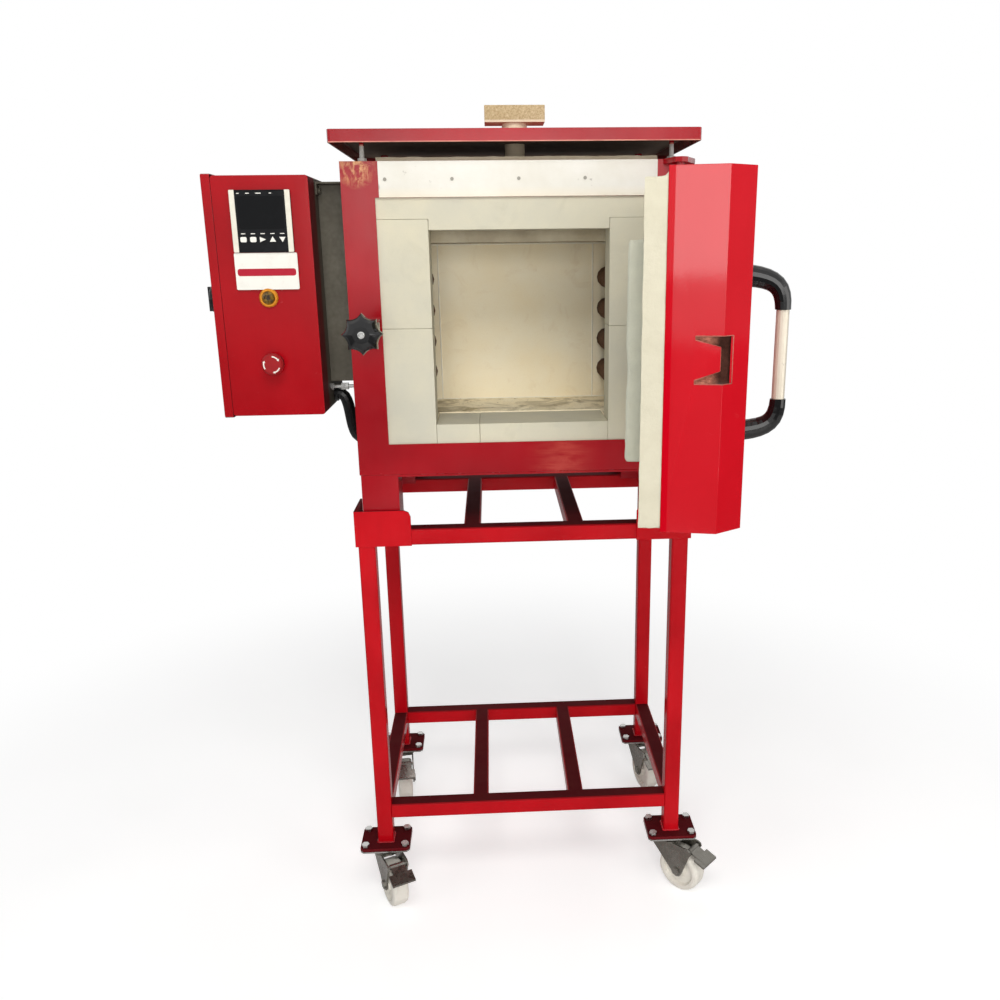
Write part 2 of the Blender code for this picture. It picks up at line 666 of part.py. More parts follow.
def castor_wheel(corner, parent):
    half = WHEEL_WIDTH / 2
    web = WHEEL_WEB_WIDTH / 2
    bore = AXLE_RADIUS + 2 * GAP
    rim = WHEEL_RADIUS - WHEEL_RIM_DEPTH
    hub = WHEEL_HUB_RADIUS
    ease = WHEEL_EDGE * (1 - math.sin(math.radians(45)))
    top = [
        (WHEEL_RADIUS, half - WHEEL_EDGE),
        (WHEEL_RADIUS - ease, half - ease),
        (WHEEL_RADIUS - WHEEL_EDGE, half),
        (rim, half),
        (rim - WHEEL_EDGE / 2, web),
        (hub + WHEEL_EDGE / 2, web),
        (hub, half + GAP),
        (bore, half + GAP),
    ]
    profile = top + [(radius, -height) for radius, height in reversed(top)]
    node(f"castor_wheel_{corner}", "nylon", [turned_ring(profile, "X", FINE_STEPS)], (), parent, True)


def brake_pedal(corner, parent):
    """A lever round the pedal pin, bent down to a wide tread."""
    arm = WHEEL_WIDTH / 2 - FORK_SIDE_CLEARANCE
    eye = PEDAL_PIN_RADIUS + PEDAL_SHEET / 2
    drop = PEDAL_REACH * PEDAL_SLOPE
    lever = [(-eye / 2, -PEDAL_SHEET / 2), (-eye / 2, PEDAL_SHEET / 2), (-PEDAL_REACH, PEDAL_SHEET / 2 - drop), (-PEDAL_REACH, -PEDAL_SHEET / 2 - drop)]
    start = 1 - PEDAL_TREAD / PEDAL_REACH
    tread = [
        (-PEDAL_REACH * start, -PEDAL_SHEET / 2 - drop * start),
        (-PEDAL_REACH * start, PEDAL_SHEET / 2 - drop * start),
        (-PEDAL_REACH, PEDAL_SHEET / 2 - drop),
        (-PEDAL_REACH, -PEDAL_SHEET / 2 - drop),
    ]
    shapes = [
        prism(circle((0, 0), eye, PIN_STEPS), "X", -arm, arm),
        prism(lever, "X", -arm, arm),
        prism(tread, "X", -PEDAL_WIDTH / 2, PEDAL_WIDTH / 2),
    ]
    hole = cylinder((0, 0), PEDAL_PIN_RADIUS + GAP, "X", -PEDAL_WIDTH, PEDAL_WIDTH, PIN_STEPS)
    node(f"brake_pedal_{corner}", "galvanised", shapes, [hole], parent)


# Kiln casing
def front_frame():
    """An angle-iron frame round the brickwork, with the door's hinge lugs and the latch's lugs welded on."""
    inner = HALF_FRAME - STILE_WIDTH
    outside = prism(rectangle(FRAME_BASE, FRAME_TOP, -HALF_FRAME, HALF_FRAME), "Y", 0, FRAME_FLANGE)
    window = prism(rectangle(BRICK_EDGE_BASE, BRICK_EDGE_TOP, -inner, inner), "Y", -OVERRUN, FRAME_FLANGE + OVERRUN)
    wall = HALF_FRAME - SHELL_SHEET + GAP
    space = rectangle(FRAME_BASE - OVERRUN, FRAME_TOP - FRAME_SHEET, -wall, wall)
    hollow = prism(space, "Y", FRAME_SHEET, FRAME_FLANGE + OVERRUN)
    return node("front_frame", "red_paint", [outside, *hinge_lugs(), *latch_lugs()], [hollow, window])


def hinge_lugs():
    """A lug above the door and one below, each with a pin that reaches into the casing."""
    left = HINGE_X - LUG_WIDTH / 2
    right = HALF_FRAME
    shapes = []
    for base, pin_low, pin_high in (
        (FRAME_TOP - LUG_THICKNESS, DOOR_TOP - PIN_DEPTH, FRAME_TOP - LUG_THICKNESS / 2),
        (FRAME_BASE, FRAME_BASE + LUG_THICKNESS / 2, DOOR_BASE + PIN_DEPTH),
    ):
        nose = arc((HINGE_X, HINGE_Y), LUG_REACH, 180, 360, 2 * CORNER_STEPS)
        outline = [(right, FRAME_SHEET / 2), (left, FRAME_SHEET / 2), (left, -FRAME_SHEET), *nose, (right, -FRAME_SHEET)]
        shapes.append(prism(outline, "Z", base, base + LUG_THICKNESS))
        shapes.append(cylinder((HINGE_X, HINGE_Y), PIN_RADIUS, "Z", pin_low, pin_high))
    shapes.append(cylinder((HINGE_X, HINGE_Y), PIN_COLLAR_RADIUS, "Z", FRAME_BASE + LUG_THICKNESS / 2, DOOR_BASE - GAP))
    return shapes


def latch_lugs():
    shapes = []
    half = LATCH_EYE_HEIGHT / 2 + GAP
    for low, high in ((LATCH_Z - half - LATCH_LUG, LATCH_Z - half), (LATCH_Z + half, LATCH_Z + half + LATCH_LUG)):
        nose = arc((-LATCH_X, -LATCH_REACH), LATCH_LUG_HALF, 180, 360, 2 * CORNER_STEPS)
        outline = [(-LATCH_X + LATCH_LUG_HALF, FRAME_SHEET / 2), (-LATCH_X - LATCH_LUG_HALF, FRAME_SHEET / 2), *nose]
        shapes.append(prism(outline, "Z", low, high))
    shapes.append(cylinder((-LATCH_X, -LATCH_REACH), LATCH_PIN_RADIUS, "Z", LATCH_Z - half - LATCH_LUG / 2, LATCH_Z + half + LATCH_LUG / 2, PIN_STEPS))
    return shapes


def heat_strip():
    """The bare steel strip over the frame's top rail, with a row of rivets."""
    half = HALF_FRAME - STRIP_SIDE_INSET
    face = -GAP - STRIP_SHEET
    plate = block((-half, face, BRICK_EDGE_TOP + GAP), (half, -GAP, FRAME_TOP - GAP))
    height = (BRICK_EDGE_TOP + FRAME_TOP) / 2
    pitch = 2 * (half - RIVET_EDGE_INSET) / RIVET_COUNT
    shapes = [plate]
    for i in range(RIVET_COUNT):
        x = -half + RIVET_EDGE_INSET + pitch * i
        shapes.append(cylinder((height, x), RIVET_RADIUS, "Y", face - RIVET_HEIGHT, face + STRIP_SHEET / 2, BOLT_STEPS))
    node("heat_strip", "stainless", shapes)


def body_shell():
    """Side walls and floor folded from one sheet, with the walls' top edges turned in."""
    front = FRAME_SHEET + GAP
    back = BODY_DEPTH - FRAME_SHEET
    base = FRAME_BASE
    outside = prism(rectangle(base, FRAME_TOP, -HALF_SHELL, HALF_SHELL), "Y", front, back)
    inside = HALF_SHELL - SHELL_SHEET
    hollow = prism(rectangle(base + SHELL_SHEET, FRAME_TOP - SHELL_SHEET, -inside, inside), "Y", front - OVERRUN, back + OVERRUN)
    mouth = HALF_SHELL - SHELL_LIP
    open_top = block((-mouth, front - OVERRUN, FRAME_TOP - OVERRUN), (mouth, back + OVERRUN, FRAME_TOP + OVERRUN))
    notch = FRAME_TOP - FRAME_SHEET - GAP
    front_notch = block((-HALF_FRAME, front - OVERRUN, notch), (HALF_FRAME, FRAME_FLANGE + GAP, FRAME_TOP + OVERRUN))
    node("body_shell", "galvanised", [outside], [hollow, open_top, front_notch])


def rear_panel():
    plate = rounded(FRAME_BASE, FRAME_TOP, -HALF_SHELL, HALF_SHELL, ROOF_CORNER)
    node("rear_panel", "galvanised", [prism(plate, "Y", BODY_DEPTH - FRAME_SHEET + GAP, BODY_DEPTH)])


def base_feet():
    """A flat ring under the kiln with a hollow post at each corner, open below."""
    top = FRAME_BASE - GAP
    ring = top - BASE_RING_HEIGHT
    outer = HALF_SHELL
    inner = outer - BASE_RING_WIDTH
    shapes = [block((-outer, 0, ring), (outer, BODY_DEPTH, top))]
    cuts = [block((-inner, BASE_RING_WIDTH, ring - OVERRUN), (inner, BODY_DEPTH - BASE_RING_WIDTH, top + OVERRUN))]
    foot = STAND_TOP + GAP
    for side in (-1, 1):
        for front in (True, False):
            x = side * (outer - FOOT_WIDTH / 2)
            y = FOOT_WIDTH / 2 if front else BODY_DEPTH - FOOT_WIDTH / 2
            half = FOOT_WIDTH / 2
            shapes.append(block((x - half, y - half, foot), (x + half, y + half, ring + BASE_RING_HEIGHT / 2)))
            half -= FOOT_WALL
            cuts.append(block((x - half, y - half, foot - OVERRUN), (x + half, y + half, ring - FOOT_WALL)))
    node("base_feet", "red_paint", shapes, cuts)


# Brickwork
def front_bricks():
    front = FRAME_SHEET + GAP
    back = FRAME_SHEET + BRICK_THICKNESS
    split = BRICK_BASE + BRICK_LENGTH
    for side, word in ((-1, "left"), (1, "right")):
        low, high = sorted((side * HALF_OPENING, side * (HALF_OPENING + BRICK_WIDTH)))
        node(f"brick_jamb_{word}_lower", "front_brick", [block((low, front, BRICK_BASE), (high, back, split))])
        node(f"brick_jamb_{word}_upper", "front_brick", [block((low, front, split + GAP), (high, back, LINTEL_BASE))])
    reach = HALF_OPENING + BRICK_WIDTH
    lintel = block((-reach, front, LINTEL_BASE + GAP), (reach, back, LINTEL_TOP))
    tail = block((-HALF_OPENING + GAP, front, OPENING_TOP), (HALF_OPENING - GAP, back, LINTEL_BASE + LINTEL_TAIL))
    node("brick_lintel", "front_brick", [lintel, tail])
    joint = -HALF_OPENING + 2 * HALF_OPENING * SILL_SPLIT_SHARE
    inset = HALF_OPENING - GAP
    node("brick_sill_short", "front_brick", [block((-inset, front, BRICK_BASE), (joint, SILL_BACK, OPENING_BASE))])
    node("brick_sill_long", "front_brick", [block((joint + GAP, front, BRICK_BASE), (inset, SILL_BACK, OPENING_BASE))])


def linings():
    outer = HALF_SHELL - SHELL_SHEET - GAP
    inner = HALF_CHAMBER - GAP
    below = CEILING - GAP
    base = FRAME_BASE + SHELL_SHEET + GAP
    front = FRAME_SHEET + GAP
    node("base_board", "fibre", [block((-outer, front, base), (outer, LINING_BACK, BRICK_BASE - GAP))])
    slab = HALF_BACK_SLAB
    for side, word in ((-1, "left"), (1, "right")):
        plan = [
            (side * outer, LINING_FRONT),
            (side * HALF_CHAMBER, LINING_FRONT),
            (side * HALF_CHAMBER, CHAMBER_BACK),
            (side * slab, CHAMBER_BACK),
            (side * slab, LINING_BACK),
            (side * outer, LINING_BACK),
        ]
        node(f"lining_{word}", "lining_brick", [prism(plan, "Z", BRICK_BASE, below)])
    slab -= GAP
    node("lining_back", "lining_brick", [block((-slab, CHAMBER_BACK, BRICK_BASE), (slab, LINING_BACK, below))])
    sill = block((-HALF_OPENING, LINING_FRONT - OVERRUN, BRICK_BASE - OVERRUN), (HALF_OPENING, SILL_BACK + GAP, FLOOR_TOP + OVERRUN))
    floor = block((-inner, LINING_FRONT, BRICK_BASE), (inner, CHAMBER_BACK - GAP, FLOOR_TOP))
    node("lining_floor", "lining_brick", [floor], [sill])
    vent = cylinder((0, STOPPER_Y), STOPPER_RADIUS + STOPPER_HOLE_CLEARANCE, "Z", CEILING - OVERRUN, BLANKET_TOP + OVERRUN)
    top = block((-outer, LINING_FRONT, CEILING), (outer, LINING_BACK, LINTEL_TOP))
    node("lining_ceiling", "lining_brick", [top], [vent])
    lower = FRAME_TOP - FRAME_SHEET - GAP
    mouth = HALF_SHELL - SHELL_LIP - GAP
    blanket = [
        block((-outer, front, LINTEL_TOP + GAP), (outer, LINING_BACK, lower)),
        block((-mouth, FRAME_FLANGE + GAP, lower - OVERRUN), (mouth, LINING_BACK, BLANKET_TOP)),
    ]
    through = cylinder((0, STOPPER_Y), STOPPER_RADIUS + STOPPER_HOLE_CLEARANCE, "Z", LINTEL_TOP - OVERRUN, BLANKET_TOP + OVERRUN)
    node("top_blanket", "fibre", blanket, [through])


def heating_bank(side, word):
    """Four element tubes lying front to back on a carrier along the chamber's side wall."""
    wall = side * (HALF_CHAMBER - GAP)
    centre = side * (HALF_CHAMBER - ELEMENT_CENTRE_INSET)
    front = LINING_FRONT + ELEMENT_END_GAP
    back = CHAMBER_BACK - ELEMENT_END_GAP
    face = wall - side * ELEMENT_RAIL
    first = OPENING_BASE + ELEMENT_FROM_FLOOR
    top = first + ELEMENT_PITCH * (ELEMENT_COUNT - 1)
    edge = ELEMENT_RADIUS + ELEMENT_RAIL_EDGE
    low, high = sorted((wall, face))
    shapes = [block((low, front, first - edge), (high, back, top + edge))]
    collar = ELEMENT_RADIUS + ELEMENT_COLLAR
    for i in range(ELEMENT_COUNT):
        height = first + ELEMENT_PITCH * i
        profile = [
            (collar, front),
            (collar, front + ELEMENT_COLLAR_WIDTH),
            (ELEMENT_RADIUS, front + ELEMENT_COLLAR_WIDTH),
            (ELEMENT_RADIUS, back - ELEMENT_COLLAR_WIDTH),
            (collar, back - ELEMENT_COLLAR_WIDTH),
            (collar, back),
        ]
        shapes.append(turned(profile, "Y", (height, centre), PIN_STEPS))
    node(f"heating_bank_{word}", "element", shapes, (), None, True)


# Roof
def roof_tray():
    """An inverted tray held above the kiln on four threaded studs."""
    half = HALF_FRAME + ROOF_SIDE_OVERHANG
    front = -ROOF_OVERHANG
    back = BODY_DEPTH + ROOF_OVERHANG
    left, right = -half - 2 * ROOF_SHIFT, half
    outside = prism(rounded(left, right, front, back, ROOF_CORNER), "Z", ROOF_BASE, ROOF_TOP)
    inset = ROOF_SHEET
    inside = rounded(left + inset, right - inset, front + inset, back - inset, ROOF_CORNER - inset)
    hollow = prism(inside, "Z", ROOF_BASE - OVERRUN, ROOF_TOP - ROOF_SHEET)
    vent = cylinder((0, STOPPER_Y), STOPPER_RADIUS + STOPPER_HOLE_CLEARANCE, "Z", ROOF_BASE, ROOF_TOP + OVERRUN)
    node("roof_tray", "red_paint", [outside], [hollow, vent])
    studs = []
    seat = FRAME_TOP + GAP
    for x in (-HALF_FRAME + STUD_SIDE_INSET, HALF_FRAME - STUD_SIDE_INSET):
        for y in (STUD_INSET, BODY_DEPTH - STUD_INSET):
            studs.append(cylinder((x, y), STUD_RADIUS, "Z", seat, ROOF_TOP - ROOF_SHEET / 2, BOLT_STEPS))
            studs.append(cylinder((x, y), NUT_RADIUS, "Z", seat, seat + NUT_HEIGHT, 6))
            studs.append(cylinder((x, y), NUT_RADIUS, "Z", ROOF_TOP - ROOF_SHEET - NUT_HEIGHT, ROOF_TOP - ROOF_SHEET / 2, 6))
    join("roof_tray", studs)


def vent_stopper():
    """A brick cap on a round stem whose shoulder sits on the roof; the stem reaches the chamber."""
    shoulder = ROOF_TOP + GAP
    cap = shoulder + STOPPER_SHOULDER_HEIGHT
    pivot = empty("stopper_seat", (0, STOPPER_Y, shoulder), ROOT)
    profile = [
        (STOPPER_RADIUS, CEILING - shoulder),
        (STOPPER_RADIUS, 0),
        (STOPPER_SHOULDER_RADIUS, 0),
        (STOPPER_SHOULDER_RADIUS, STOPPER_SHOULDER_HEIGHT + STOPPER_CAP / 2),
    ]
    half_x = STOPPER_CAP_WIDTH / 2
    half_y = STOPPER_CAP_DEPTH / 2
    low = cap - shoulder
    brick = block((-half_x, -half_y, low), (half_x, half_y, low + STOPPER_CAP))
    node("vent_stopper", "fibre", [brick, turned(profile, "Z")], (), pivot)


# Door, laid out closed about its hinge axis: the origin is on the axis at the door's middle height
def door_places():
    latch = -DOOR_LATCH_EDGE - HINGE_X
    half = DOOR_HEIGHT / 2
    return latch, DOOR_HINGE_EDGE, half


def casing_outline(inset, top=0.0):
    """Plan of the casing: square to the board, both front edges bevelled, shrunk by inset."""
    latch, hinge, _ = door_places()
    slip = inset * math.tan(math.radians(22.5))
    front = -CASING_DEPTH - CASING_CHAMFER + inset
    shoulder = -CASING_DEPTH + slip
    bevel = CASING_CHAMFER + slip
    return [
        (hinge - inset, top),
        (latch + inset, top),
        (latch + inset, shoulder),
        (latch + bevel, front),
        (hinge - bevel, front),
        (hinge - inset, shoulder),
    ]


def latch_frame():
    """The latch pivot in the closed door's frame, and the closed bolt's direction."""
    turn = math.radians(LATCH_CLOSE_DEGREES)
    pivot = Vector((-LATCH_X - HINGE_X, -LATCH_REACH - HINGE_Y))
    along = Vector((math.sin(turn), -math.cos(turn)))
    right = Vector((math.cos(turn), math.sin(turn)))
    return pivot, along, right


def pocket_points():
    """Where the tongue is bent out of the latch wall, where the slot ends on the bevel, and the pocket's middle."""
    latch, _, _ = door_places()
    pivot, along, right = latch_frame()
    start = Vector((latch, -LATCH_POCKET_START))
    origin = pivot + right * (LATCH_BOLT_RADIUS + LATCH_TONGUE_CLEARANCE)
    bevel = latch - CASING_DEPTH
    end = origin + along * ((bevel - origin.x - origin.y) / (along.x + along.y))
    return start, end, LATCH_Z - DOOR_MIDDLE - LATCH_POCKET_DROP


def door_casing(parent):
    """A folded steel pan with bevelled edges, and a tongue bent in where the latch bolt swings home."""
    latch, hinge, half = door_places()
    shell = prism(casing_outline(0.0), "Z", -half, half)
    hollow = prism(casing_outline(CASING_SHEET, OVERRUN), "Z", -half + CASING_SHEET, half - CASING_SHEET)
    start, end, middle = pocket_points()
    reach = LATCH_POCKET_HEIGHT / 2
    slot_end = end.x + LATCH_TONGUE_CLEARANCE
    slot = block(
        (latch - OVERRUN, -CASING_DEPTH - (slot_end - latch) - OVERRUN, middle - reach),
        (latch + CASING_SHEET + OVERRUN / 2, start.y, middle + reach),
    )
    bevel_slot = block((latch - OVERRUN, -CASING_DEPTH - CASING_CHAMFER - OVERRUN, middle - reach), (slot_end, -CASING_DEPTH + CASING_SHEET, middle + reach))
    cuts = [hollow, slot, bevel_slot]
    cuts += [
        cylinder((0, 0), PIN_RADIUS + PIN_CLEARANCE, "Z", -half - OVERRUN, -half + OVERRUN),
        cylinder((0, 0), PIN_RADIUS + PIN_CLEARANCE, "Z", half - OVERRUN, half + OVERRUN),
    ]
    node("door_casing", "red_paint", [shell], cuts, parent)
    join("door_casing", [latch_tongue(start, middle)], parent)


def tongue_ways():
    """The bent tongue's direction and the way into the casing, square to it."""
    turn = math.radians(LATCH_TONGUE_DEGREES)
    return Vector((math.sin(turn), -math.cos(turn))), Vector((math.cos(turn), math.sin(turn)))


def latch_tongue(start, middle):
    """The strip of the latch wall that is bent inwards beside the closed bolt, narrower towards its tip."""
    along, into = tongue_ways()
    into = into * CASING_SHEET
    back = Vector((0, OVERRUN))
    tip = start + along * LATCH_TONGUE_LENGTH
    rings = []
    for near, far, height in ((start + back, start + into + back, LATCH_TONGUE_ROOT), (start, start + into, LATCH_TONGUE_ROOT), (tip, tip + into, LATCH_TONGUE_TIP)):
        low, high = middle - height / 2, middle + height / 2
        rings.append([Vector((p.x, p.y, z)) for p, z in ((near, low), (far, low), (far, high), (near, high))])
    return loft(rings)


def door_insulation(parent):
    """The fibre board that faces the bricks, with the filling that it carries inside the casing."""
    latch, hinge, half = door_places()
    board = block((latch, GAP, -half + BOARD_BOTTOM_RISE), (hinge, BOARD_THICKNESS, half - BOARD_TOP_DROP))
    inside = CASING_SHEET + GAP
    filling = prism(casing_outline(inside, 4 * GAP), "Z", -half + inside, half - inside)
    start, end, middle = pocket_points()
    along, into = tongue_ways()
    reach = LATCH_POCKET_HEIGHT / 2 + GAP
    away = into * (CASING_SHEET + LATCH_TONGUE_CLEARANCE)
    tip = start + along * (LATCH_TONGUE_LENGTH + LATCH_TONGUE_CLEARANCE)
    outer = latch - OVERRUN
    pocket = [
        (outer, start.y + 2 * OVERRUN),
        (outer, -CASING_DEPTH - CASING_CHAMFER - OVERRUN),
        (tip.x + away.x + 2 * OVERRUN, -CASING_DEPTH - CASING_CHAMFER - OVERRUN),
        (tip.x + away.x, tip.y + away.y),
        (start.x + away.x, start.y + 2 * OVERRUN),
    ]
    cuts = [prism(pocket, "Z", middle - reach, middle + reach)]
    for low, high in ((-half - OVERRUN, -half + PIN_DEPTH + OVERRUN), (half - PIN_DEPTH - OVERRUN, half + OVERRUN)):
        cuts.append(block((-PIN_RADIUS - OVERRUN, -PIN_RADIUS - OVERRUN, low), (hinge - GAP - CASING_SHEET + OVERRUN, PIN_RADIUS + OVERRUN, high)))
    node("door_insulation", "fibre", [board, filling], cuts, parent)


def door_plug(parent):
    """The block on the door that fills the mouth of the chamber."""
    half = HALF_OPENING - PLUG_CLEARANCE
    tall = OPENING_HEIGHT / 2 - PLUG_HEIGHT_CLEARANCE
    middle = (OPENING_BASE + OPENING_TOP) / 2 - DOOR_MIDDLE
    near = BOARD_THICKNESS + GAP
    far = BOARD_THICKNESS + PLUG_THICKNESS
    rings = []
    for y, edge in ((near, 0), (far - PLUG_EDGE, 0), (far, PLUG_EDGE)):
        outline = rounded(-half + edge, half - edge, -tall + edge, tall - edge, PLUG_EDGE)
        rings.append([Vector((x - HINGE_X, y, z + middle)) for x, z in outline])
    node("door_plug", "fibre", [loft(rings)], (), parent)


def handle_curve(share):
    """An elbow's centre line, from the door at (0, 1) to the tube at (1, 0): a sloped leg, then a rounded corner."""
    s, t = 1 - share, share
    weights = (s**3, 3 * s * s * t, 3 * s * t * t, t**3)
    return (
        sum(w * p for w, p in zip(weights, HANDLE_OUT_SHARES)),
        sum(w * p for w, p in zip(weights, HANDLE_UP_SHARES)),
    )


def door_handle(parent):
    latch, _, _ = door_places()
    x = latch + HANDLE_FROM_LATCH_EDGE
    face = -CASING_DEPTH - CASING_CHAMFER - GAP
    axis_y = face - HANDLE_STANDOFF
    half_tube = HANDLE_TUBE_LENGTH / 2
    rise = HANDLE_SPAN / 2 - half_tube
    drop = -HANDLE_DROP
    tube = cylinder((x, axis_y), HANDLE_TUBE_RADIUS, "Z", drop - half_tube + GAP, drop + half_tube - GAP)
    node("handle_tube", "stainless", [tube], (), parent, True)
    for sign, word in ((1, "upper"), (-1, "lower")):
        path = []
        sizes = []
        for i in range(HANDLE_STEPS + 1):
            share = i / HANDLE_STEPS
            out, up = handle_curve(share)
            path.append(Vector((x, face - HANDLE_STANDOFF * out, drop + sign * (half_tube + rise * up))))
            size = HANDLE_FOOT_RADIUS + (HANDLE_ELBOW_RADIUS - HANDLE_FOOT_RADIUS) * share
            sizes.append((HANDLE_ELBOW_RADIUS, size))
        ends = (Vector((0, -1, 0)), Vector((0, 0, -sign)))
        elbow = swept(path, sizes, Vector((1, 0, 0)), ends)
        trim = block((x - HANDLE_STANDOFF, face, -HANDLE_SPAN), (x + HANDLE_STANDOFF, face + HANDLE_STANDOFF, HANDLE_SPAN))
        node(f"handle_end_{word}", "black_plastic", [elbow], [trim], parent, True)


# Latch, laid out about its pivot with the bolt towards -Y
def latch_bolt(parent):
    end = LATCH_KNOB_START + KNOB_HEIGHT - GAP
    eye = cylinder((0, 0), LATCH_EYE_RADIUS, "Z", -LATCH_EYE_HEIGHT / 2, LATCH_EYE_HEIGHT / 2)
    shank = cylinder((0, 0), LATCH_BOLT_RADIUS, "Y", -end, -LATCH_PIN_RADIUS - GAP)
    hole = cylinder((0, 0), LATCH_PIN_RADIUS + GAP, "Z", -LATCH_EYE_HEIGHT, LATCH_EYE_HEIGHT, PIN_STEPS)
    node("latch_bolt", "galvanised", [eye, shank], [hole], parent)


def star_knob(parent):
    """Eight pointed lobes with hollows between them, domed towards the hand."""
    count = KNOB_LOBES * KNOB_LOBE_POINTS
    valley = KNOB_RADIUS * KNOB_VALLEY_SHARE
    dome_shares = ((0.90, 0.0, 1.0), (1.0, 0.14, 1.0), (1.0, 0.50, 1.0), (0.95, 0.72, 0.9), (0.80, 0.90, 0.6), (0.50, 1.0, 0.2))
    rings = []
    for scale, height, lobed in dome_shares:
        ring = []
        for i in range(count):
            turn = 2 * math.pi * i / count
            wave = abs(math.sin(KNOB_LOBES * turn / 2)) ** 0.6
            lobe = KNOB_RADIUS - (KNOB_RADIUS - valley) * wave
            radius = scale * (lobed * lobe + (1 - lobed) * valley)
            ring.append(Vector((radius * math.cos(turn), -height * KNOB_HEIGHT, radius * math.sin(turn))))
        rings.append(ring)
    hub = cylinder((0, 0), KNOB_HUB_RADIUS, "Y", -KNOB_HEIGHT / 2, KNOB_HUB_HEIGHT)
    bore = cylinder((0, 0), LATCH_BOLT_RADIUS + GAP, "Y", -2 * KNOB_HEIGHT, 2 * KNOB_HUB_HEIGHT)
    node("star_knob", "black_plastic", [loft(rings), hub], [bore], parent, True)


# Control box
def control_box():
    """A sheet box, open on its left side, with cut-outs for the instruments."""
    outline = rounded(BOX_BASE, BOX_TOP, BOX_LEFT, BOX_RIGHT, BOX_CORNER)
    inset = BOX_SHEET
    inner = block((BOX_LEFT - OVERRUN, BOX_FRONT + inset, BOX_BASE + inset), (BOX_RIGHT - inset, BOX_BACK - inset, BOX_TOP - inset))
    half = CONTROLLER_BODY / 2 + GAP
    height = BOX_TOP - CONTROLLER_DROP
    window = block((BOX_MIDDLE_X - half, BOX_FRONT - OVERRUN, height - half), (BOX_MIDDLE_X + half, BOX_FRONT + OVERRUN, height + half))
    cuts = [inner, window]
    for drop, radius in ((LAMP_DROP, BARREL_RADIUS), (STOP_DROP, STOP_NECK_RADIUS)):
        place = (BOX_TOP - drop, BOX_MIDDLE_X)
        cuts.append(cylinder(place, radius + GAP, "Y", BOX_FRONT - 2 * OVERRUN, BOX_FRONT + OVERRUN))
    collar = cylinder((BOX_TOP - STOP_DROP, BOX_MIDDLE_X), STOP_COLLAR_RADIUS, "Y", BOX_FRONT - STOP_COLLAR_HEIGHT, BOX_FRONT + BOX_SHEET / 2)
    node("control_box", "red_paint", [prism(outline, "Y", BOX_FRONT, BOX_BACK), collar], cuts)


def side_door(parent):
    """The box's left side: a shallow pan hinged along its rear edge, about its own axis."""
    face = -GAP
    outer = -SIDE_DOOR_THICKNESS
    near = BOX_FRONT - (BOX_BACK + SIDE_DOOR_AXIS_BACK)
    far = -SIDE_DOOR_AXIS_BACK
    half = BOX_HEIGHT / 2 + SIDE_DOOR_OVERLAP
    pan = prism(rounded(near, far, -half, half, BOX_CORNER), "X", outer, face)
    inset = BOX_SHEET
    recess = prism(rounded(near + inset, far - inset, -half + inset, half - inset, BOX_CORNER - inset), "X", outer + inset, face + OVERRUN)
    shapes = [pan]
    for sign in (-1, 1):
        middle = sign * (half - KNUCKLE_INSET)
        low, high = middle - KNUCKLE_HEIGHT / 2, middle + KNUCKLE_HEIGHT / 2
        shapes.append(cylinder((0, 0), KNUCKLE_RADIUS, "Z", low, high, BOLT_STEPS))
        shapes.append(block((-SIDE_DOOR_THICKNESS + inset, far - inset / 2, low), (-KNUCKLE_RADIUS / 2, KNUCKLE_RADIUS - GAP, high)))
    lock_y = near + LOCK_FROM_FRONT
    cuts = [recess, cylinder((lock_y, 0), LOCK_SHAFT_RADIUS + GAP, "X", outer - OVERRUN, outer + OVERRUN)]
    node("side_door", "red_paint", shapes, cuts, parent)
    lock = empty("lock_axis", (outer, lock_y, 0), parent)
    lock_knob(lock)


def lock_knob(parent):
    start = -GAP
    profile = [
        (LOCK_RADIUS, start),
        (LOCK_RADIUS, start - LOCK_HEIGHT / 2),
        (LOCK_RADIUS - LOCK_HEIGHT / 8, start - LOCK_HEIGHT + LOCK_GRIP_HEIGHT),
    ]
    grip = block(
        (start - LOCK_HEIGHT, -LOCK_GRIP_WIDTH / 2, -LOCK_RADIUS + LOCK_GRIP_HEIGHT / 2),
        (start - LOCK_HEIGHT / 2, LOCK_GRIP_WIDTH / 2, LOCK_RADIUS - LOCK_GRIP_HEIGHT / 2),
    )
    shaft = cylinder((0, 0), LOCK_SHAFT_RADIUS, "X", start - LOCK_HEIGHT / 4, LOCK_SHAFT_LENGTH / 2)
    node("lock_knob", "black_plastic", [turned(profile, "X", (0, 0), FINE_STEPS), grip, shaft], (), parent)


def controller():
    """A square panel instrument: bezel, sunk face with five keys, and the body behind the box's front."""
    half = CONTROLLER_SIZE / 2
    height = BOX_TOP - CONTROLLER_DROP
    back = BOX_FRONT - GAP
    front = back - CONTROLLER_BEZEL
    body = CONTROLLER_BODY / 2
    x = BOX_MIDDLE_X
    bezel = prism(rounded(height - half, height + half, x - half, x + half, CONTROLLER_RECESS), "Y", front, back)
    rear = block((x - body, back - CONTROLLER_BEZEL / 2, height - body), (x + body, back + CONTROLLER_BODY_DEPTH, height + body))
    strip = half - CONTROLLER_SIDE_STRIP
    face = half - CONTROLLER_RECESS
    sunk = block((x - strip, front - OVERRUN, height - face), (x + strip, front + CONTROLLER_RECESS, height + face))
    keys = []
    for i in range(KEY_COUNT):
        across = x + KEY_PITCH * (i - (KEY_COUNT - 1) / 2)
        face_y = front + CONTROLLER_RECESS
        keys.append(cylinder((height - half + KEYS_FROM_BOTTOM, across), KEY_RADIUS, "Y", face_y - KEY_RISE, face_y + KEY_RISE, BOLT_STEPS))
    node("controller", "black_plastic", [bezel, rear], [sunk])
    join("controller", keys)


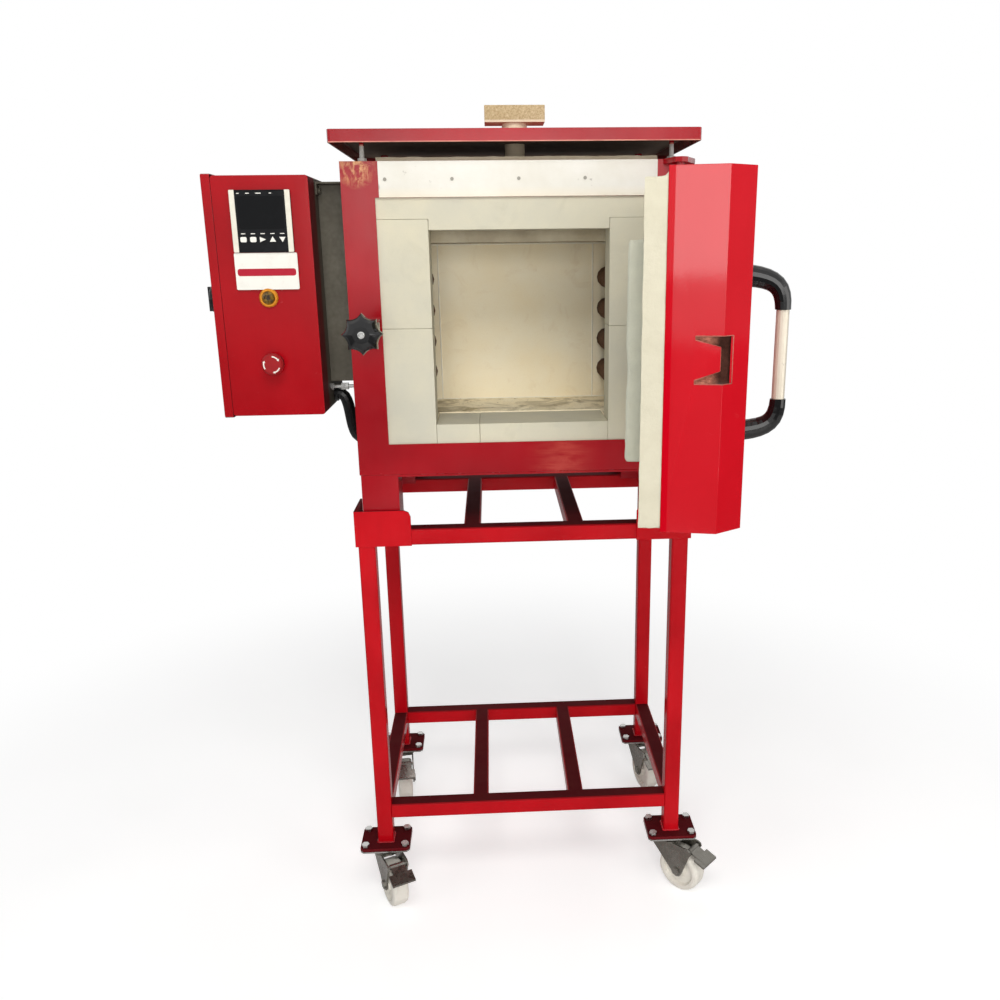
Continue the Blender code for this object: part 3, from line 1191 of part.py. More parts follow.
def pilot_lamp():
    height = BOX_TOP - LAMP_DROP
    face = BOX_FRONT - GAP
    lens = LAMP_LENS_RADIUS
    top = face - LAMP_BEZEL_HEIGHT
    profile = [
        (BARREL_RADIUS, face + BARREL_DEPTH),
        (BARREL_RADIUS, face),
        (LAMP_BEZEL_RADIUS, face),
        (LAMP_BEZEL_RADIUS, top + LAMP_BEZEL_HEIGHT / 3),
        (LAMP_BEZEL_RADIUS - LAMP_BEZEL_HEIGHT / 3, top),
        (lens, top),
        (lens * math.cos(math.radians(30)), top - LAMP_LENS_HEIGHT / 2),
        (lens / 2, top - LAMP_LENS_HEIGHT),
    ]
    node("pilot_lamp", "amber", [turned(profile, "Y", (height, BOX_MIDDLE_X))], (), None, True)


def emergency_stop():
    """A mushroom button on a neck that runs back through the box's front."""
    height = BOX_TOP - STOP_DROP
    pivot = empty("stop_axis", (BOX_MIDDLE_X, BOX_FRONT, height), ROOT)
    rim = -STOP_STANDOFF
    profile = [
        (STOP_NECK_RADIUS, BARREL_DEPTH),
        (STOP_NECK_RADIUS, rim),
        (STOP_HEAD_RADIUS - STOP_HEAD_HEIGHT / 4, rim),
        (STOP_HEAD_RADIUS, rim - STOP_HEAD_HEIGHT / 4),
        (STOP_HEAD_RADIUS, rim - STOP_HEAD_HEIGHT * 2 / 3),
        (STOP_HEAD_RADIUS - STOP_HEAD_HEIGHT / 4, rim - STOP_HEAD_HEIGHT),
    ]
    node("emergency_stop", "stop_red", [turned(profile, "Y", (0, 0), FINE_STEPS)], (), pivot, True)


# Between the control box and the kiln
def brackets():
    left = BOX_RIGHT + GAP
    right = -HALF_SHELL - GAP
    top = BOX_TOP - BRACKET_TOP_DROP
    front, back = BRACKET_BACK, BRACKET_BACK + BRACKET_WIDTH
    middle = (front + back) / 2
    bolt = top - BRACKET_FLANGE * 2 / 3
    strap = [
        block((left, front, top - BRACKET_SHEET), (right, back, top)),
        block((left, front, top - BRACKET_FLANGE), (left + BRACKET_SHEET, back, top)),
        block((right - BRACKET_SHEET, front, top - BRACKET_FLANGE), (right, back, top)),
        block((left, back - BRACKET_SHEET, BOX_BASE + BRACKET_PLATE_RISE), (right, back, top - BRACKET_SHEET / 2)),
        cylinder((middle, bolt), BRACKET_BOLT_RADIUS, "X", left + BRACKET_SHEET / 2, left + BRACKET_SHEET + BRACKET_BOLT_HEIGHT, 6),
        cylinder((middle, bolt), BRACKET_BOLT_RADIUS, "X", right - BRACKET_SHEET - BRACKET_BOLT_HEIGHT, right - BRACKET_SHEET / 2, 6),
    ]
    node("bracket_upper", "galvanised", strap)
    height = BOX_BASE + ROD_RISE
    centre = (left + right) / 2
    rod = [cylinder((ROD_BACK, height), ROD_RADIUS, "X", left, right, BOLT_STEPS)]
    for start in (centre - ROD_NUT_HEIGHT, centre + GAP):
        rod.append(cylinder((ROD_BACK, height), ROD_NUT_RADIUS, "X", start, start + ROD_NUT_HEIGHT, 6))
    for start in (left, right - ROD_NUT_HEIGHT):
        rod.append(cylinder((ROD_BACK, height), ROD_NUT_RADIUS, "X", start, start + ROD_NUT_HEIGHT, 6))
    node("bracket_lower", "galvanised", rod)


def conduit():
    """The black conduit that carries the supply from the box down into the kiln's side."""
    start = Vector((BOX_RIGHT + GAP, CONDUIT_BACK, BOX_BASE + CONDUIT_BOX_RISE))
    end = Vector((-HALF_SHELL - GAP, CONDUIT_BACK, start.z - CONDUIT_DROP))
    pull = Vector((CONDUIT_HANDLE, 0, 0))
    ahead = Vector((GLAND_LENGTH, 0, 0))
    first, last = start + ahead, end - ahead
    path = [start]
    for i in range(CONDUIT_STEPS + 1):
        t = i / CONDUIT_STEPS
        s = 1 - t
        path.append(s**3 * first + 3 * s * s * t * (first + pull) + 3 * s * t * t * (last - pull) + t**3 * last)
    path.append(end)
    sizes = [(CONDUIT_RADIUS, CONDUIT_RADIUS)] * len(path)
    tube = swept(path, sizes, Vector((0, 1, 0)), (ahead, ahead), PIN_STEPS)
    glands = [
        cylinder((CONDUIT_BACK, start.z), GLAND_RADIUS, "X", start.x, start.x + GLAND_LENGTH),
        cylinder((CONDUIT_BACK, end.z), GLAND_RADIUS, "X", end.x - GLAND_LENGTH, end.x),
    ]
    node("conduit", "black_plastic", [tube, *glands], (), None, True)


def centre_on_footprint():
    """Moves the root so that the origin is the middle of the kiln's bounding box at floor level."""
    bpy.context.view_layer.update()
    shapes = bpy.context.evaluated_depsgraph_get()
    points = []
    for piece in bpy.context.scene.objects:
        if piece.type != "MESH" or piece.hide_render:
            continue
        whole = piece.evaluated_get(shapes)
        points += [whole.matrix_world @ vertex.co for vertex in whole.data.vertices]
    low = [min(p[i] for p in points) for i in range(3)]
    high = [max(p[i] for p in points) for i in range(3)]
    ROOT.location = (-(low[0] + high[0]) / 2, -(low[1] + high[1]) / 2, -low[2])
    bpy.context.view_layer.update()


def build():
    stand_side("stand_side_left", -1)
    stand_side("stand_side_right", 1)
    stand_frame("stand_lower_frame", LOWER_RAIL)
    stand_frame("stand_upper_frame", STAND_TOP - TUBE)
    for corner, side, front in corners():
        castor(corner, side, front)
    front_frame()
    heat_strip()
    body_shell()
    rear_panel()
    base_feet()
    front_bricks()
    linings()
    heating_bank(-1, "left")
    heating_bank(1, "right")
    roof_tray()
    vent_stopper()
    door_axis = empty("door_axis", (HINGE_X, HINGE_Y, DOOR_MIDDLE), ROOT, DOOR_OPEN_DEGREES)
    door_casing(door_axis)
    door_insulation(door_axis)
    door_plug(door_axis)
    door_handle(door_axis)
    latch_axis = empty("latch_axis", (-LATCH_X, -LATCH_REACH, LATCH_Z), ROOT)
    latch_bolt(latch_axis)
    star_knob(empty("knob_axis", (0, -LATCH_KNOB_START, 0), latch_axis))
    control_box()
    side_door(empty("side_door_axis", (BOX_LEFT, BOX_BACK + SIDE_DOOR_AXIS_BACK, BOX_MIDDLE_Z), ROOT))
    controller()
    pilot_lamp()
    emergency_stop()
    brackets()
    conduit()
    centre_on_footprint()


for old in list(bpy.data.objects):
    bpy.data.objects.remove(old, do_unlink=True)
ROOT = empty("kiln", (0, 0, 0))
build()
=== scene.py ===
"""Looks for the ceramic kiln: materials, fine details, lights and the camera."""

import math

import bmesh
import bpy
from mathutils import Matrix, Vector

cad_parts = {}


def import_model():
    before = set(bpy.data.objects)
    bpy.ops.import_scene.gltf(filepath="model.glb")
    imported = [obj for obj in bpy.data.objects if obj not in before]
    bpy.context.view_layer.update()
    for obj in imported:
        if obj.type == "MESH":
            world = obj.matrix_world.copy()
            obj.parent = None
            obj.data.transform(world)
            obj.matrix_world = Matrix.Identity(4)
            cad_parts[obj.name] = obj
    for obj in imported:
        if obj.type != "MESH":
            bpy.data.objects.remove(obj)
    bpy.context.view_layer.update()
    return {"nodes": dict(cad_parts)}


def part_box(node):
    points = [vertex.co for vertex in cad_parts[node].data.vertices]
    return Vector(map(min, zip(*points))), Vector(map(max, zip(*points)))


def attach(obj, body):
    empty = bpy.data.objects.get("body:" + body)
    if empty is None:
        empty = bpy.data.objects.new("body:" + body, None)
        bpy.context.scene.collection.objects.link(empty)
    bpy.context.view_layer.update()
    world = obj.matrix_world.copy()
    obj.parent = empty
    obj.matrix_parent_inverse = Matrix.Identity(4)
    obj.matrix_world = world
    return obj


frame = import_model()
NODES = frame["nodes"]
CORNERS = ("front_left", "front_right", "rear_left", "rear_right")

# The kiln is laid out about the middle of its front frame, whose front face is at Y = 0
BODY_DEPTH = 0.390
FRAME_LOW, FRAME_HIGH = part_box("front_frame")
SHIFT = Vector(((FRAME_LOW.x + FRAME_HIGH.x) / 2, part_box("rear_panel")[1].y - BODY_DEPTH, 0))

# Camera, from the photograph
CAMERA_PLACE = (-0.0517, -1.5522, 1.2455)
CAMERA_YAW = 2.842
CAMERA_PITCH = 15.501
CAMERA_ROLL = -0.685
CAMERA_LENS = 32.53
CAMERA_SENSOR = 36.0
CAMERA_SHIFT = -0.0382

# Door and its hinge
DOOR_OPEN_DEGREES = 77.0
HINGE = Vector((0.258, -0.031, 0)) + SHIFT
FOLD_START, FOLD_END = -0.0075, -0.0085

# Torn edges of the latch pocket, as places on the closed door measured from the hinge
POCKET_WALL, POCKET_EDGE, POCKET_RIM = -0.4802, -0.0352, -0.0680
POCKET_CORNER = (-0.4690, -0.0789)
TONGUE_TIP = (-0.4672, -0.0650)
POCKET_HEIGHTS = ((1.147, 1.1425, 1.133), (1.091, 1.0955, 1.105))
TORN_RADIUS = 0.0006
TORN_STEP = 0.0016

# Heights and depths of the casing, the roof and the chamber
COVER_DEPTH = 0.052
PAD_TOP = 0.124
SKIRT_BASE = 1.410
CEILING_HEIGHT = 1.258
FLOOR_HEIGHT = 0.956
CHAMBER_BACK = 0.2727
CHAMBER_HALF = 0.199
BACK_SLAB_HALF = 0.1510
STOPPER_CAP = 0.028

# Instruments on the control box
BOX_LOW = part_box("control_box")[0]
BOX_FRONT = BOX_LOW.y
FACE_LOW, FACE_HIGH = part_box("controller")
FACE_X = (FACE_LOW.x + FACE_HIGH.x) / 2
SUNK = FACE_LOW.y + 0.0015
STRIP_START = 0.0394
KEY_Z = FACE_LOW.z + 0.020
KEY_PITCH = 0.0155
KEY_WIDTH = 0.0098
KEY_HEIGHT = 0.0082
KEY_CORNER = 0.0022
KEY_PROUD = 0.0013
KEY_ARROWS = (
    (0, ((-0.5, 0.5), (-0.5, -0.5), (0.5, 0.0))),
    (1, ((-0.5, -0.45), (0.5, -0.45), (0.0, 0.55))),
    (2, ((-0.5, 0.45), (0.0, -0.55), (0.5, 0.45))),
)
PRINT_THICK = 0.0003
PRINT_HEIGHT = 0.0013
PRINT_CORNER = 0.0005
PRINT_STEPS = 2
PRINT_ROWS = (
    (0.0090, (-0.031, -0.0155, 0.0, 0.0155, 0.031), 0.0070),
    (0.0172, (-0.030, 0.003, 0.029), 0.0080),
)
TOP_PRINT = ((-0.034, 0.004), (-0.019, 0.006), (-0.002, 0.009), (0.017, 0.004))
TOP_PRINT_DROP = 0.0052
WINDOW_DROP = 0.0345
WINDOW_SIZE = (0.072, 0.050)
WINDOW_CORNER = 0.003
WINDOW_PROUD = 0.0008
LABEL_X, LABEL_Z = FACE_X + 0.0012, FACE_LOW.z - 0.0298
LABEL_SIZE = (0.101, 0.058)
LABEL_CORNER = 0.0022
LABEL_PROUD, LABEL_SUNK = 0.0008, 0.0002
BAND_DROP = 0.0015
BAND_SIZE = (0.094, 0.0115)
BAND_CORNER = 0.004
BAND_PROUD = 0.0010
LENS_EDGE = (0.0112, 0.0106)

# Turn arrows on the emergency stop
STOP_LOW, STOP_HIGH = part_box("emergency_stop")
STOP_CENTRE = ((STOP_LOW.x + STOP_HIGH.x) / 2, (STOP_LOW.z + STOP_HIGH.z) / 2)
ARROW_DEGREES = (62, 188, 312)
ARROW_HALF = 24
ARROW_HEAD = 13
ARROW_STEPS = 10
ARROW_OUTER = 0.0142
ARROW_INNER = 0.0122
ARROW_BARB = 0.0014
ARROW_PROUD, ARROW_SUNK = 0.0003, 0.0008

# Threaded insert in the star knob, as radius and depth from the knob's face
KNOB_LOW, KNOB_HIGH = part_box("star_knob")
KNOB_CENTRE = Vector(((KNOB_LOW.x + KNOB_HIGH.x) / 2, KNOB_LOW.y, (KNOB_LOW.z + KNOB_HIGH.z) / 2))
INSERT_SIDES = 24
INSERT_PROFILE = (
    (0.0, 0.0014),
    (0.0026, 0.0014),
    (0.0029, -0.0004),
    (0.0040, -0.0010),
    (0.0053, -0.0007),
    (0.0058, 0.0004),
    (0.0058, 0.0020),
)

# Resistance wire on the element tubes
TUBE_COUNT = 4
TUBE_PITCH = 0.0591
TUBE_FROM_WALL = 0.0212
COIL_RADIUS = 0.0196
COIL_PITCH = 0.0072
COIL_STEPS = 14
COIL_END = 0.009
WIRE_RADIUS = 0.0016
WIRE_SIDES = 5

# Mortar beads on the chamber's back wall
CORNER_BEAD, TOP_BEAD, FOOT_BEAD = 0.0016, 0.0018, 0.0012
CORNER_BEAD_DROP, TOP_BEAD_DROP, FOOT_BEAD_RISE = 0.001, 0.0014, 0.0005
BEAD_PROUD = 0.0002

# Weld runs at the feet of the legs
LEG_X = 0.283
LEG_DEPTHS = (0.012, 0.378)
LEG_HALF = 0.0154
WELD_RADIUS = 0.0019
WELD_STEP = 0.0024
WELD_RISE = 0.0004

# Rounded edges. The frame's are less than the 0.3 mm round its pins, so that the eyes turn freely on them
CASING_EDGE = 0.0007
FRAME_EDGE = 0.00025
STAND_EDGE = 0.0006
BRICK_EDGE = 0.0012
SMALL_EDGE = 0.0004
EDGE_ANGLE = math.radians(35)
EDGE_SEGMENTS = 2
WELD_DISTANCE = 0.00002
FIBRE_VOXEL = 0.0032

# Surfaces and light
BAND_SOFT = 0.0004
PAINT_SPECULAR = 0.32
WORLD_LIGHT = 0.22
FLOOR_REACH = 12
WARM = (1.0, 0.98, 0.95)
SKY = (1.0, 0.99, 0.97)
LAMPS = (
    ("front", (0.3, -3.1, 1.15), (0, 0, 1.1), (1.4, 1.6), 35, WARM, False),
    ("above", (0.0, -1.5, 2.6), (0, 0.1, 0.95), (1.2, 0.8), 24, SKY, False),
    ("window", (0.1, -3.2, 1.60), (0, 0, 1.2), (1.7, 0.95), 15, SKY, True),
    ("right", (2.5, -1.9, 1.35), (0.1, 0.1, 0.8), (1.2, 2.2), 19, (1.0, 0.97, 0.95), True),
    ("left", (-2.4, -1.4, 1.7), (0, 0, 0.9), (1.2, 1.8), 8, (0.95, 0.97, 1.0), True),
    ("top", (0.2, 1.2, 3.0), (0, 0.1, 0.9), (1.6, 1.6), 12, (1.0, 1.0, 1.0), True),
)


def srgb(red, green, blue):
    """A display colour, 0 to 255, as a linear one."""
    values = [v / 255 for v in (red, green, blue)]
    return tuple(v / 12.92 if v <= 0.04045 else ((v + 0.055) / 1.055) ** 2.4 for v in values) + (1.0,)


class Graph:
    """A material's nodes, from its Principled shader."""

    def __init__(self, name):
        self.material = bpy.data.materials.new(name)
        self.material.use_nodes = True
        self.tree = self.material.node_tree
        self.shader = self.tree.nodes["Principled BSDF"]
        self.place = self.add("ShaderNodeTexCoord").outputs["Object"]

    def add(self, kind, settings=None, inputs=None):
        made = self.tree.nodes.new(kind)
        for key, value in (settings or {}).items():
            setattr(made, key, value)
        for key, value in (inputs or {}).items():
            self.feed(made.inputs[key], value)
        return made

    def feed(self, socket, value):
        if isinstance(value, bpy.types.NodeSocket):
            self.tree.links.new(value, socket)
        else:
            socket.default_value = value

    def set(self, **inputs):
        for key, value in inputs.items():
            self.feed(self.shader.inputs[key.replace("_", " ")], value)

    def stretched(self, scale):
        return self.add("ShaderNodeMapping", None, {"Vector": self.place, "Scale": scale}).outputs["Vector"]

    def noise(self, scale, detail=4.0, roughness=0.55, vector=None, distortion=0.0):
        inputs = {"Vector": vector or self.place, "Scale": scale, "Detail": detail}
        inputs.update({"Roughness": roughness, "Distortion": distortion})
        return self.add("ShaderNodeTexNoise", None, inputs).outputs["Fac"]

    def cells(self, scale, feature="F1"):
        inputs = {"Vector": self.place, "Scale": scale}
        return self.add("ShaderNodeTexVoronoi", {"feature": feature}, inputs).outputs["Distance"]

    def remap(self, value, low, high, to_low=0.0, to_high=1.0, smooth=False):
        settings = {"interpolation_type": "SMOOTHSTEP" if smooth else "LINEAR"}
        inputs = {"Value": value, "From Min": low, "From Max": high, "To Min": to_low, "To Max": to_high}
        return self.add("ShaderNodeMapRange", settings, inputs).outputs["Result"]

    def maths(self, operation, first, second=0.0, clamp=False):
        made = self.add("ShaderNodeMath", {"operation": operation, "use_clamp": clamp})
        self.feed(made.inputs[0], first)
        self.feed(made.inputs[1], second)
        return made.outputs[0]

    def blend(self, share, first, second):
        made = self.add("ShaderNodeMix", {"data_type": "RGBA"})
        self.feed(made.inputs[0], share)
        self.feed(made.inputs[6], first)
        self.feed(made.inputs[7], second)
        return made.outputs[2]

    def bump(self, height, distance, strength, normal=None):
        inputs = {"Height": height, "Distance": distance, "Strength": strength}
        if normal:
            inputs["Normal"] = normal
        return self.add("ShaderNodeBump", None, inputs).outputs["Normal"]

    def axes(self):
        made = self.add("ShaderNodeSeparateXYZ", None, {"Vector": self.place})
        return made.outputs[0], made.outputs[1], made.outputs[2]

    def upward(self):
        """How far a face looks up, from 0 to 1."""
        normal = self.add("ShaderNodeNewGeometry").outputs["Normal"]
        height = self.add("ShaderNodeSeparateXYZ", None, {"Vector": normal}).outputs[2]
        return self.remap(height, 0.4, 1.0)

    def facing(self, axis, sign=1.0, low=0.5, high=0.8):
        """How far a face looks along one of the piece's own axes, from 0 to 1."""
        normal = self.add("ShaderNodeTexCoord").outputs["Normal"]
        part = self.add("ShaderNodeSeparateXYZ", None, {"Vector": normal}).outputs["XYZ".index(axis)]
        return self.remap(self.maths("MULTIPLY", part, sign), low, high)

    def band(self, value, low, high):
        """1 between two levels, 0 outside them."""
        rise = self.remap(value, low - BAND_SOFT, low + BAND_SOFT)
        fall = self.remap(value, high - BAND_SOFT, high + BAND_SOFT, 1.0, 0.0)
        return self.maths("MULTIPLY", rise, fall)

    def distance(self, centre, axes):
        """Distance from a line along the axis that is left out."""
        parts = self.axes()
        squares = []
        for axis, level in zip(axes, centre):
            gap = self.maths("SUBTRACT", parts["XYZ".index(axis)], level)
            squares.append(self.maths("MULTIPLY", gap, gap))
        return self.maths("SQRT", self.maths("ADD", squares[0], squares[1]))

    def along(self, direction):
        """How far a place lies along a direction from the scene's origin."""
        made = self.add("ShaderNodeVectorMath", {"operation": "DOT_PRODUCT"})
        self.feed(made.inputs[0], self.place)
        self.feed(made.inputs[1], direction)
        return made.outputs["Value"]

    def edges(self, radius):
        """A mask along sharp edges, from the difference between the true and the rounded normal."""
        true = self.add("ShaderNodeNewGeometry").outputs["Normal"]
        soft = self.add("ShaderNodeBevel", {"samples": 4}, {"Radius": radius}).outputs["Normal"]
        dot = self.add("ShaderNodeVectorMath", {"operation": "DOT_PRODUCT"})
        self.feed(dot.inputs[0], true)
        self.feed(dot.inputs[1], soft)
        return self.remap(self.maths("SUBTRACT", 1.0, dot.outputs["Value"]), 0.02, 0.18)


# Makers of materials
def red_paint(
    name, main, deep, chips=0.5, dust=0.25, painted_shade=0.0, tint=None, gloss=PAINT_SPECULAR, polish=(0.15, 0.28)
):
    """Gloss red paint with orange peel, faint sags, scuffs, chipped edges and dust on what looks up; where
    asked, painted shade darkens what looks up.
    """
    g = Graph(name)
    cloudy = g.noise(6.0, 3.0, 0.5)
    streaks = g.noise(5.0, 4.0, 0.6, g.stretched((14.0, 14.0, 1.6)))
    colour = g.blend(g.remap(cloudy, 0.3, 0.75), deep, main)
    colour = g.blend(g.remap(streaks, 0.45, 0.8, 0.0, 0.25), colour, deep)
    scuffs = g.remap(g.noise(42.0, 6.0, 0.72, g.stretched((1.0, 1.0, 3.0)), 0.6), 0.67, 0.76)
    colour = g.blend(g.maths("MULTIPLY", scuffs, 0.16), colour, srgb(222, 120, 118))
    # Painted shade: what looks up is darkened towards deep maroon.
    if painted_shade:
        colour = g.blend(g.maths("MULTIPLY", g.upward(), painted_shade), colour, srgb(52, 2, 8))
    dusty = g.maths("MULTIPLY", g.upward(), g.remap(g.noise(26.0, 5.0, 0.6), 0.35, 0.75, 0.0, dust))
    colour = g.blend(dusty, colour, srgb(118, 70, 62))
    chipped = g.remap(g.noise(70.0, 5.0, 0.7), 0.60, 0.66, 0.0, chips)
    worn = g.maths("MULTIPLY", g.edges(0.0016), chipped)
    colour = g.blend(worn, colour, srgb(92, 70, 64))
    rough = g.remap(g.noise(18.0, 4.0, 0.6), 0.3, 0.8, *polish)
    rough = g.maths("ADD", rough, g.maths("MULTIPLY", scuffs, 0.20))
    rough = g.maths("ADD", rough, g.maths("MULTIPLY", dusty, 0.6), True)
    if painted_shade:
        rough = g.maths("ADD", rough, g.maths("MULTIPLY", g.upward(), 0.65), True)
    if tint:
        colour, rough = tint(g, colour, rough)
    if callable(gloss):
        gloss = gloss(g)
    peel = g.bump(g.noise(420.0, 2.0, 0.5), 0.00004, 0.55)
    sag = g.bump(streaks, 0.0006, 0.22, peel)
    g.set(Base_Color=colour, Roughness=rough, Normal=g.bump(worn, 0.0002, 0.5, sag))
    g.set(Specular_IOR_Level=gloss)
    return g.material


def brick(name, main, pale, dark, stain=0.5, grain=1.0, tint=None):
    """Insulating brick: sandy grain, pinholes, cut marks and soft stains."""
    g = Graph(name)
    fine = g.noise(950.0, 3.0, 0.7)
    patches = g.noise(9.0, 5.0, 0.6)
    colour = g.blend(g.remap(patches, 0.3, 0.72), main, pale)
    stains = g.remap(g.noise(16.0, 6.0, 0.65, None, 1.2), 0.56, 0.82, 0.0, stain)
    colour = g.blend(stains, colour, dark)
    pores = g.remap(g.cells(420.0), 0.10, 0.22, 1.0, 0.0)
    where = g.remap(g.noise(75.0, 3.0, 0.6), 0.50, 0.60)
    pores = g.maths("MULTIPLY", pores, where)
    colour = g.blend(g.maths("MULTIPLY", pores, 0.35), colour, dark)
    colour = g.blend(g.remap(fine, 0.3, 0.8, 0.0, 0.14), colour, dark)
    colour = g.blend(g.maths("MULTIPLY", g.edges(0.0022), 0.30), colour, pale)
    if tint:
        colour = tint(g, colour)
    marks = g.noise(60.0, 3.0, 0.6, g.stretched((1.0, 1.0, 9.0)))
    normal = g.bump(marks, 0.0006, 0.25 * grain)
    normal = g.bump(fine, 0.0003, 0.6 * grain, normal)
    normal = g.bump(pores, 0.0006, -0.5 * grain, normal)
    g.set(Base_Color=colour, Roughness=g.remap(fine, 0.2, 0.8, 0.86, 1.0), Normal=normal)
    g.set(Specular_IOR_Level=0.25)
    return g.material


def fibre(name, main, dark, tint=None):
    """Pressed ceramic fibre: soft lumps and short fibres."""
    g = Graph(name)
    lumps = g.noise(34.0, 4.0, 0.6)
    hairs = g.noise(260.0, 5.0, 0.75, g.stretched((1.0, 4.0, 1.0)), 0.8)
    colour = g.blend(g.remap(lumps, 0.3, 0.75, 0.0, 0.6), main, dark)
    colour = g.blend(g.remap(hairs, 0.45, 0.75, 0.0, 0.22), colour, dark)
    if tint:
        colour = tint(g, colour)
    normal = g.bump(lumps, 0.003, 0.45)
    normal = g.bump(hairs, 0.0008, 0.6, normal)
    g.set(Base_Color=colour, Roughness=g.remap(hairs, 0.2, 0.8, 0.88, 1.0), Normal=normal)
    g.set(Specular_IOR_Level=0.2, Sheen_Weight=0.15)
    return g.material


def sheet_metal(name, main, dark, metallic, rough, brushed=(1.0, 1.0, 1.0), spangle=0.0, tint=None):
    """Bare or plated sheet: rolling marks, cloudy oxide and, where asked, zinc flakes."""
    g = Graph(name)
    cloud = g.noise(11.0, 4.0, 0.6)
    lines = g.noise(110.0, 4.0, 0.6, g.stretched(brushed))
    colour = g.blend(g.remap(cloud, 0.3, 0.75), main, dark)
    colour = g.blend(g.remap(lines, 0.4, 0.8, 0.0, 0.3), colour, dark)
    value = g.remap(lines, 0.25, 0.8, *rough)
    if spangle:
        flakes = g.cells(170.0, "SMOOTH_F1")
        colour = g.blend(g.remap(flakes, 0.1, 0.8, 0.0, spangle), colour, dark)
        value = g.maths("ADD", value, g.remap(flakes, 0.0, 0.9, -0.06, 0.10), True)
    spots = g.remap(g.noise(58.0, 5.0, 0.7), 0.66, 0.72, 0.0, 0.5)
    colour = g.blend(spots, colour, srgb(96, 84, 74))
    if tint:
        colour = tint(g, colour)
    normal = g.bump(lines, 0.00025, 0.22)
    normal = g.bump(cloud, 0.0008, 0.3, normal)
    g.set(Base_Color=colour, Metallic=metallic, Roughness=value, Normal=normal)
    return g.material


def plastic(name, main, grey, rough=(0.16, 0.3), peel=0.35, gloss=0.3):
    """Moulded plastic with fine texture, handling marks and dust."""
    g = Graph(name)
    marks = g.noise(48.0, 6.0, 0.7, None, 0.7)
    colour = g.blend(g.remap(marks, 0.5, 0.8, 0.0, 0.35), main, grey)
    dusty = g.maths("MULTIPLY", g.upward(), g.remap(g.noise(60.0, 4.0, 0.6), 0.4, 0.8, 0.0, 0.22))
    colour = g.blend(dusty, colour, srgb(140, 134, 126))
    value = g.remap(marks, 0.3, 0.8, *rough)
    value = g.maths("ADD", value, dusty, True)
    normal = g.bump(g.noise(700.0, 2.0, 0.5), 0.00006, peel)
    g.set(Base_Color=colour, Roughness=value, Normal=normal, Specular_IOR_Level=gloss)
    return g.material


def instrument(name):
    """Black moulded instrument with cream strips down both sides of its face."""
    g = Graph(name)
    across, depth, _ = g.axes()
    off = g.maths("ABSOLUTE", g.maths("SUBTRACT", across, FACE_X))
    face = g.remap(depth, FACE_LOW.y + 0.0012, FACE_LOW.y + 0.0009)
    strips = g.maths("MULTIPLY", g.remap(off, STRIP_START, STRIP_START + 0.0002), face)
    marks = g.noise(48.0, 6.0, 0.7, None, 0.7)
    black = g.blend(g.remap(marks, 0.5, 0.8, 0.0, 0.3), srgb(16, 17, 19), srgb(42, 43, 46))
    cream = g.blend(g.remap(marks, 0.4, 0.8, 0.0, 0.4), srgb(226, 222, 208), srgb(192, 186, 168))
    rough = g.remap(marks, 0.3, 0.8, 0.12, 0.24)
    rough = g.maths("ADD", rough, g.maths("MULTIPLY", strips, 0.25), True)
    g.set(Base_Color=g.blend(strips, black, cream), Roughness=rough, Specular_IOR_Level=0.16)
    g.set(Normal=g.bump(g.noise(700.0, 2.0, 0.5), 0.00006, 0.3))
    return g.material


def lamp_lens(name):
    """Gilt bezel round a dark amber lens."""
    g = Graph(name)
    low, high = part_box("pilot_lamp")
    radius = g.distance(((low.x + high.x) / 2, (low.z + high.z) / 2), "XZ")
    lens = g.remap(radius, *LENS_EDGE)
    ring = g.blend(g.noise(90.0, 4.0, 0.6), srgb(232, 160, 46), srgb(206, 124, 24))
    speckle = g.remap(g.noise(160.0, 3.0, 0.5), 0.4, 0.6)
    glass = g.blend(speckle, srgb(44, 30, 8), srgb(126, 96, 24))
    g.set(Base_Color=g.blend(lens, ring, glass), Metallic=g.remap(lens, 0.0, 1.0, 0.55, 0.1))
    g.set(Roughness=g.remap(lens, 0.0, 1.0, 0.28, 0.08), Normal=g.bump(g.cells(260.0), 0.0004, 0.4))
    return g.material


# Local colour, painted shade, painted sheen and painted highlight on the red paint
def door_depth(g):
    """Depth behind the closed door's back, on the door as it stands open at rest."""
    turn = math.radians(DOOR_OPEN_DEGREES)
    across = Vector((-math.sin(turn), math.cos(turn), 0))
    return g.maths("SUBTRACT", g.along(across), across.dot(HINGE))


def past_fold(g):
    """0 on the fold at the casing's open edge, 1 beyond it."""
    return g.remap(door_depth(g), FOLD_START, FOLD_END)


def fold_shade(g, colour, rough):
    """Deep red painted shade on the fold along the casing's open edge."""
    fold = g.maths("SUBTRACT", 1.0, past_fold(g))
    return g.blend(g.maths("MULTIPLY", fold, 0.9), colour, srgb(178, 0, 20)), rough


def door_gloss(g):
    """Full gloss on the door's wide side wall, less on its fold, its bevels and its face."""
    wall = g.facing("Y", -1.0, 0.90, 0.95)
    return g.remap(g.maths("MULTIPLY", wall, past_fold(g)), 0.0, 1.0, 0.10, 0.55)


